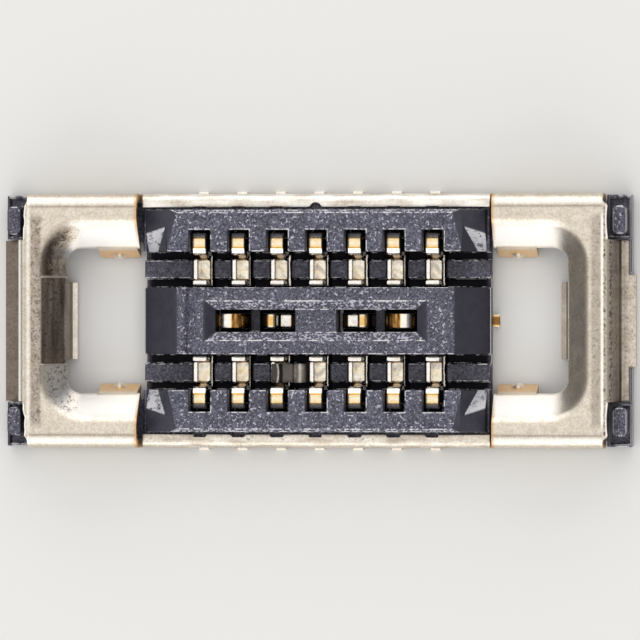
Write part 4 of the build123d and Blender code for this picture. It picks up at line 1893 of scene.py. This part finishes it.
            # Painted shade darkens the end slope, and the side slopes keep a painted white
            # reflection
            dull = 0.44 + 0.05 * ripple(place.x * 30, place.y * 2, 1.0)
            return 0.5 + on_slope * (0.5 - dull * smoothstep(*self.shaded_end, place.x)), 0.0
        # Painted shade in the coined panel, with streaks
        if self.recessed(place.y) and place.x > self.panel_start:
            panel = smoothstep(self.top - 0.002, self.top - 0.012, place.z)
            streak = 0.26 * ripple(place.x * 34, place.y * 2.5, 4.0)
            return 0.5 + panel * (streak - 0.28), 0.26 * panel
        # Painted highlight along the panel's edge
        border = smoothstep(self.recess_half + 0.012, self.recess_half + 0.004, y)
        if border > 0.0 and place.x > self.panel_start:
            return 0.5 + 0.5 * border, 0.0
        return self.corner_look(place, on_slope)

    def side_lines(self, y: float) -> float:
        """Painted shade in the crease and a painted highlight by the outer bend, along a side."""
        crease = band(y, self.flat_y + self.groove_step, 0.012)
        return 0.34 * band(y, self.half_width - 0.075, 0.022) - 0.24 * crease

    def rim_look(self, place: Vector) -> tuple[float, float]:
        """Tint and pits on the plate's end, where lines and specks run along the edge: bright lines
        are painted highlights and the crease line is painted shade.

        Args:
            place: A place beyond the rim, on the positive side of X.

        Returns:
            The tint and the share of pits.
        """
        x, y = place.x, abs(place.y)
        inside = smoothstep(*self.ear_side, y)
        crease = band(x, self.crease_x, 0.009) * smoothstep(*self.crease_side, y)
        tint = 0.5 + smoothstep(*self.arm_end, x) * self.side_lines(y)
        # Painted highlight along the cut edge
        if y > self.wall_half:
            tint += 0.5 * smoothstep(*self.edge_highlight, self.ear_edge(place.y) - x)
        left = self.end is End.LEFT
        start, stop = self.left_strip if left else self.right_strip
        strip = smoothstep(*start, x) * smoothstep(*stop, x) * inside
        if left:
            # Painted highlight on the light line and painted shade in the crease
            light = band(x, self.left_highlight, 0.012)
            speckle = 0.16 * ripple(x * 70, place.y * 70, 1.0)
            tint += (speckle - 0.21) * strip - 0.14 * crease + 0.20 * light
            return tint, 0.22 * strip
        # Painted highlights on the light lines and painted shade in the crease
        light = band(x, self.right_highlight, 0.008) * inside
        tint += 0.5 * light - 0.16 * strip - 0.22 * crease + 0.12 * band(x, 2.63, 0.01)
        return tint, 0.12 * strip + 0.5 * crease

    def wall_look(self, place: Vector) -> tuple[float, float]:
        """Tint and pits of the end wall and the foot.

        Args:
            place: A place beyond the outer bend, on the positive side of X.

        Returns:
            The tint and the share of pits.
        """
        left = self.end is End.LEFT
        if place.z < self.foot_top + 0.02:
            outer = smoothstep(self.wall_foot + 0.02, self.wall_foot + 0.09, place.x)
            return (0.10 if left else 0.30 + 0.16 * outer), 0.15
        # Painted shade darkens the wall below its top, and the left bend takes a painted highlight
        fall = smoothstep(self.top - 0.004, self.top - 0.05, place.z)
        low = smoothstep(0.30, 0.16, place.z)
        marked = (0.3 if left else 1.0) * (1 - low)
        bend = smoothstep(self.top - 0.09, self.top - 0.04, place.z) * (0.80 if left else 0.0)
        return 0.5 - 0.33 * fall + 0.06 * low + bend, 0.8 * marked * (1 - bend)

    def look(self, place: Vector) -> tuple[float, float, float]:
        """Tint, pits and heat stain at a place.

        Args:
            place: A place on the shell, on the positive side of X.

        Returns:
            The tint from 0 for brown to 1 for white, and the shares of pits and of stain.
        """
        glow = smoothstep(self.plate_start + 0.034, self.plate_start + 0.008, place.x)
        stain = 0.75 * glow * smoothstep(self.top - 0.30, self.top - 0.02, place.z)
        y = abs(place.y)
        if y < self.rim_half and place.x < self.rim_end:
            return *self.slope_look(place), stain
        if y < self.wall_half and place.x > self.wall_top - 0.02:
            return *self.wall_look(place), 0.0
        if place.x > self.rim_end - 0.02 and place.z > self.top - 0.03:
            return *self.rim_look(place), 0.0
        return 0.5 + self.side_lines(y), 0.0, stain

    def build(self, finishes: Finishes) -> None:
        """Make the shell.

        Args:
            finishes: The shared materials.
        """
        draft = self.draft()
        for place in draft.vertices:
            place.x *= self.end.value
        side = self.end.name.lower()
        piece = draft.build(f"drawn_end_shell_{side}", open_sheet=True)

        def own(place: Vector) -> Vector:
            """The same place on the positive side of X."""
            return Vector((abs(place.x), place.y, place.z))

        for index, layer in enumerate(("tint", "pits", "stain")):
            paint(piece, layer, lambda place, index=index: self.look(own(place))[index])
        middle = Vector((self.dimple_x, self.tab_foot, self.dimple_z))
        thin = []
        for vertex in piece.data.vertices:
            place = own(vertex.co / MM)
            place.y = abs(place.y)
            low = place.z < self.end_tab_level + self.curl_margin
            curled = low and place.y < self.end_tab_half + self.seam and place.x < self.lip_end
            if curled or (place - middle).length < self.dimple_radius:
                thin.append(vertex.index)
        Sheet().thicken(piece, thin)
        materials = (finishes.nickel, finishes.sheared, finishes.stained, finishes.sheared)
        settle(piece, "nickel_plated_shell", [f"end_shell_{side}"], *materials)


@dataclass
class SideShell:
    """One narrow folded strip along a long side, notched above each contact."""

    row: Row
    half_length: float = 1.565
    inner_y: float = 1.02
    outer_y: float = 1.14
    top: float = 0.37
    bottom: float = 0.075
    bend: float = 0.075
    pitch: float = 0.35
    columns: int = 7
    slit_half: float = 0.0535
    slit_depth: float = 0.024
    faint_slit_depth: float = 0.006
    slit_edge: float = 0.001
    nick_radius: float = 0.05
    nick_depth: float = 0.042
    edge_width: float = 0.007
    step: float = 0.012
    fold_step: float = 0.02

    def inner_edge(self, x: float) -> float:
        """Place of the strip's inner edge, drawn back at each slit and at the nick."""
        nearest = round(x / self.pitch)
        edge = self.inner_y
        if abs(nearest) <= self.columns // 2 and abs(x - nearest * self.pitch) < self.slit_half:
            edge += self.slit_depth if self.row is Row.FRONT else self.faint_slit_depth
        if self.row is Row.REAR and abs(x) < self.nick_radius:
            nick = self.nick_depth * math.sqrt(1 - (x / self.nick_radius) ** 2)
            edge = max(edge, self.inner_y + nick)
        return edge

    def look(self, place: Vector) -> tuple[float, float]:
        """Tint and pits at a place: nearly white at the rear, cream and grained at the front."""
        streak = ripple(place.x * 5, place.y * 70, 6.0)
        if self.row is Row.REAR:
            return 0.70 + 0.40 * streak, 0.0
        return 0.52 + 0.30 * streak, max(0.0, 0.6 * streak - 0.10)

    def build(self, finishes: Finishes) -> None:
        """Make the strip.

        Args:
            finishes: The shared materials.
        """
        breaks = [-self.half_length]
        for column in row_places(self.columns, self.pitch):
            breaks.extend([column - self.slit_half, column - self.slit_half + self.slit_edge])
            breaks.extend([column + self.slit_half - self.slit_edge, column + self.slit_half])
        breaks.append(self.half_length)
        xs = spread(breaks, self.step)
        fold = rounded_path(
            [(self.inner_y, self.top), (self.outer_y, self.top), (self.outer_y, self.bottom)],
            [self.bend],
            self.fold_step,
        )
        fold = [place for place in fold if place.x > self.inner_y + self.nick_depth]
        rows = [[Vector((x, self.inner_edge(x), self.top)) for x in xs]]
        rows += [[Vector((x, place.x, place.y)) for x in xs] for place in fold]
        for row in rows:
            for place in row:
                place.y *= self.row.value
        draft = MeshDraft()
        draft.grid(rows)
        side = self.row.name.lower()
        piece = draft.build(f"folded_side_shell_{side}", open_sheet=True)
        for index, layer in enumerate(("tint", "pits")):
            paint(piece, layer, lambda place, index=index: self.look(place)[index])
        Sheet(edge_width=self.edge_width).thicken(piece)
        materials = (finishes.nickel, finishes.sheared)
        settle(piece, "nickel_plated_shell", [f"side_shell_{side}"], *materials)


@dataclass
class Residue:
    """A crust of dried residue that lies over one front contact and the rib beside it."""

    left: float = -0.405
    right: float = -0.072
    front: float = -0.556
    rear: float = -0.386
    thickness: float = 0.012
    step: float = 0.007
    top: float = 0.316
    fall: float = 0.052
    fall_span: Span = (-0.335, -0.310)
    ridge: float = 0.044
    ridge_x: float = -0.150
    ridge_width: float = 0.040
    slump: float = 0.036
    slump_span: Span = (-0.115, -0.075)
    grain: float = 0.006
    rim: Span = (0.7, 1.0)
    streak_x: float = -0.342
    streak_width: float = 0.007
    streak_bow: float = 0.05
    brown_end: float = -0.328
    flat_zone: tuple[Span, Span] = ((-0.318, -0.305), (-0.215, -0.225))
    pale_zone: tuple[Span, Span] = ((-0.212, -0.200), (-0.080, -0.120))
    ridge_highlight_x: float = -0.147

    def height(self, x: float, y: float) -> float:
        """Height of the crust: over the fold on the left, lower, then a ridge on the rib."""
        level = self.top - self.fall * smoothstep(*self.fall_span, x)
        level += self.ridge * band(x, self.ridge_x, self.ridge_width)
        level += self.grain * ripple(x * 26, y * 26, 0)
        level -= self.slump * smoothstep(*self.slump_span, x)
        middle = (self.front + self.rear) / 2
        edge = abs(y - middle) / (self.rear - middle)
        return level - self.grain * smoothstep(*self.rim, edge)

    def tint_at(self, place: Vector) -> float:
        """Tint: olive brown with a curved white streak, black, flat grey, then a pale ridge with a
        painted highlight.
        """
        x, y = place.x, place.y
        bow = (y - (self.front + self.rear) / 2) / (self.rear - self.front)
        streak = band(x, self.streak_x - self.streak_bow * bow * bow, self.streak_width)
        if x < self.brown_end:
            return 0.26 + 0.08 * ripple(x * 40, y * 30, 0) + 0.75 * streak
        flat, ridge = (
            smoothstep(*start, x) * smoothstep(*stop, x)
            for start, stop in (self.flat_zone, self.pale_zone)
        )
        # Painted highlight along the ridge
        light = band(x, self.ridge_highlight_x, 0.012) * (0.6 + 0.8 * abs(bow))
        rough = 0.14 * ripple(x * 50, y * 30, 3)
        return 0.10 + 0.36 * flat + ridge * (0.52 + rough) + 0.45 * light

    def build(self, finishes: Finishes) -> None:
        """Make the crust.

        Args:
            finishes: The shared materials.
        """
        rows = []
        for y in spread([self.front, self.rear], self.step):
            ragged = 0.012 * ripple(y * 30, 5.0, 0)
            xs = spread([self.left - ragged, self.right + ragged], self.step)
            rows.append([Vector((x, y, self.height(x, y))) for x in xs])
        count = min(len(row) for row in rows)
        draft = MeshDraft()
        draft.grid([row[:count] for row in rows])
        piece = draft.build("dried_residue", open_sheet=True)
        paint(piece, "tint", self.tint_at)
        body = piece.modifiers.new("crust_thickness", "SOLIDIFY")
        body.thickness = self.thickness * MM
        body.offset = -1.0
        settle(piece, "housing_plastic", [], finishes.residue)


@dataclass
class Studio:
    """Pale floor, soft lamps and the camera that stands where the photograph was taken."""

    aim: tuple[float, float, float] = (0.062, 0.007, 0.57)
    direction: tuple[float, float, float] = (0.109, 0.0, 0.99)
    distance: float = 55.0
    frame_width: float = 5.713
    floor_size: float = 400.0
    floor_colour: Colour = (0.80, 0.80, 0.79)
    sky: Colour = (0.27, 0.255, 0.24)
    lamp_height: float = 90.0
    lamp_size: float = 150.0
    lamp_power: float = 0.057
    strip_place: tuple[float, float] = (88.0, 42.0)
    strip_size: tuple[float, float] = (150.0, 76.0)
    strip_power: float = 0.054
    side_place: tuple[float, float] = (-95.0, 74.0)
    side_size: tuple[float, float] = (150.0, 50.0)
    side_power: float = 0.022
    near_clip: float = 1.0
    far_clip: float = 2000.0

    def camera(self) -> None:
        """Make the camera, with the photograph's upright along Y."""
        lens = bpy.data.cameras.new("view_camera")
        lens.angle = 2 * math.atan(self.frame_width / 2 / self.distance)
        lens.clip_start = self.near_clip * MM
        lens.clip_end = self.far_clip * MM
        holder = bpy.data.objects.new("view_camera", lens)
        bpy.context.scene.collection.objects.link(holder)
        back = Vector(self.direction).normalized()
        right = Vector((0, 1, 0)).cross(back).normalized()
        turn = Matrix((right, back.cross(right), back)).transposed().to_4x4()
        place = (Vector(self.aim) + back * self.distance) * MM
        holder.matrix_world = Matrix.Translation(place) @ turn
        bpy.context.scene.camera = holder

    def floor(self) -> None:
        """Make the floor that the feet stand on."""
        half = self.floor_size / 2
        draft = MeshDraft()
        draft.grid([[Vector((x, y, 0)) for x in (-half, half)] for y in (-half, half)])
        floor = draft.build("studio_floor")
        shader = Shader("pale_floor")
        shader.surface.inputs["Base Color"].default_value = (*self.floor_colour, 1.0)
        shader.surface.inputs["Roughness"].default_value = 0.9
        floor.data.materials.append(shader.material)

    def lamp(
        self,
        name: str,
        place: tuple[float, float, float],
        size: tuple[float, float],
        power: float,
    ) -> None:
        """Hang a soft rectangular lamp that looks at the connector.

        Args:
            name: The lamp's name.
            place: Where it hangs, in millimetres.
            size: Its two sides in millimetres.
            power: Its power in watts.
        """
        light = bpy.data.lights.new(name, "AREA")
        light.shape = "RECTANGLE"
        light.size, light.size_y = (side * MM for side in size)
        light.energy = power
        holder = bpy.data.objects.new(name, light)
        bpy.context.scene.collection.objects.link(holder)
        holder.location = Vector(place) * MM
        holder.rotation_euler = (-Vector(place)).to_track_quat("-Z", "Y").to_euler()

    def build(self) -> None:
        """Light the set and place the camera."""
        scene = bpy.context.scene
        scene.view_settings.view_transform = "Standard"
        world = bpy.data.worlds.new("soft_room")
        world.use_nodes = True
        background = world.node_tree.nodes["Background"]
        background.inputs["Color"].default_value = (*self.sky, 1.0)
        background.inputs["Strength"].default_value = 1.0
        scene.world = world
        self.floor()
        size = (self.lamp_size, self.lamp_size)
        self.lamp("overhead_softbox", (0, 0, self.lamp_height), size, self.lamp_power)
        reach, height = self.strip_place
        for row in Row:
            place = (0, row.value * reach, height)
            self.lamp(f"{row.name.lower()}_strip", place, self.strip_size, self.strip_power)
        reach, height = self.side_place
        self.lamp("left_strip", (reach, 0, height), self.side_size, self.side_power)
        self.camera()


def main() -> None:
    """Build the sub-assemblies in order, then the studio."""
    finishes = Finishes.make()
    Housing().build(finishes)
    SignalContacts().build(finishes)
    SlotShadeWebs().build(finishes)
    CentreContacts().build(finishes)
    for end in End:
        EndShell(end).build(finishes)
    for row in Row:
        SideShell(row).build(finishes)
    Residue().build(finishes)
    Studio().build()


if __name__ == "__main__":
    main()
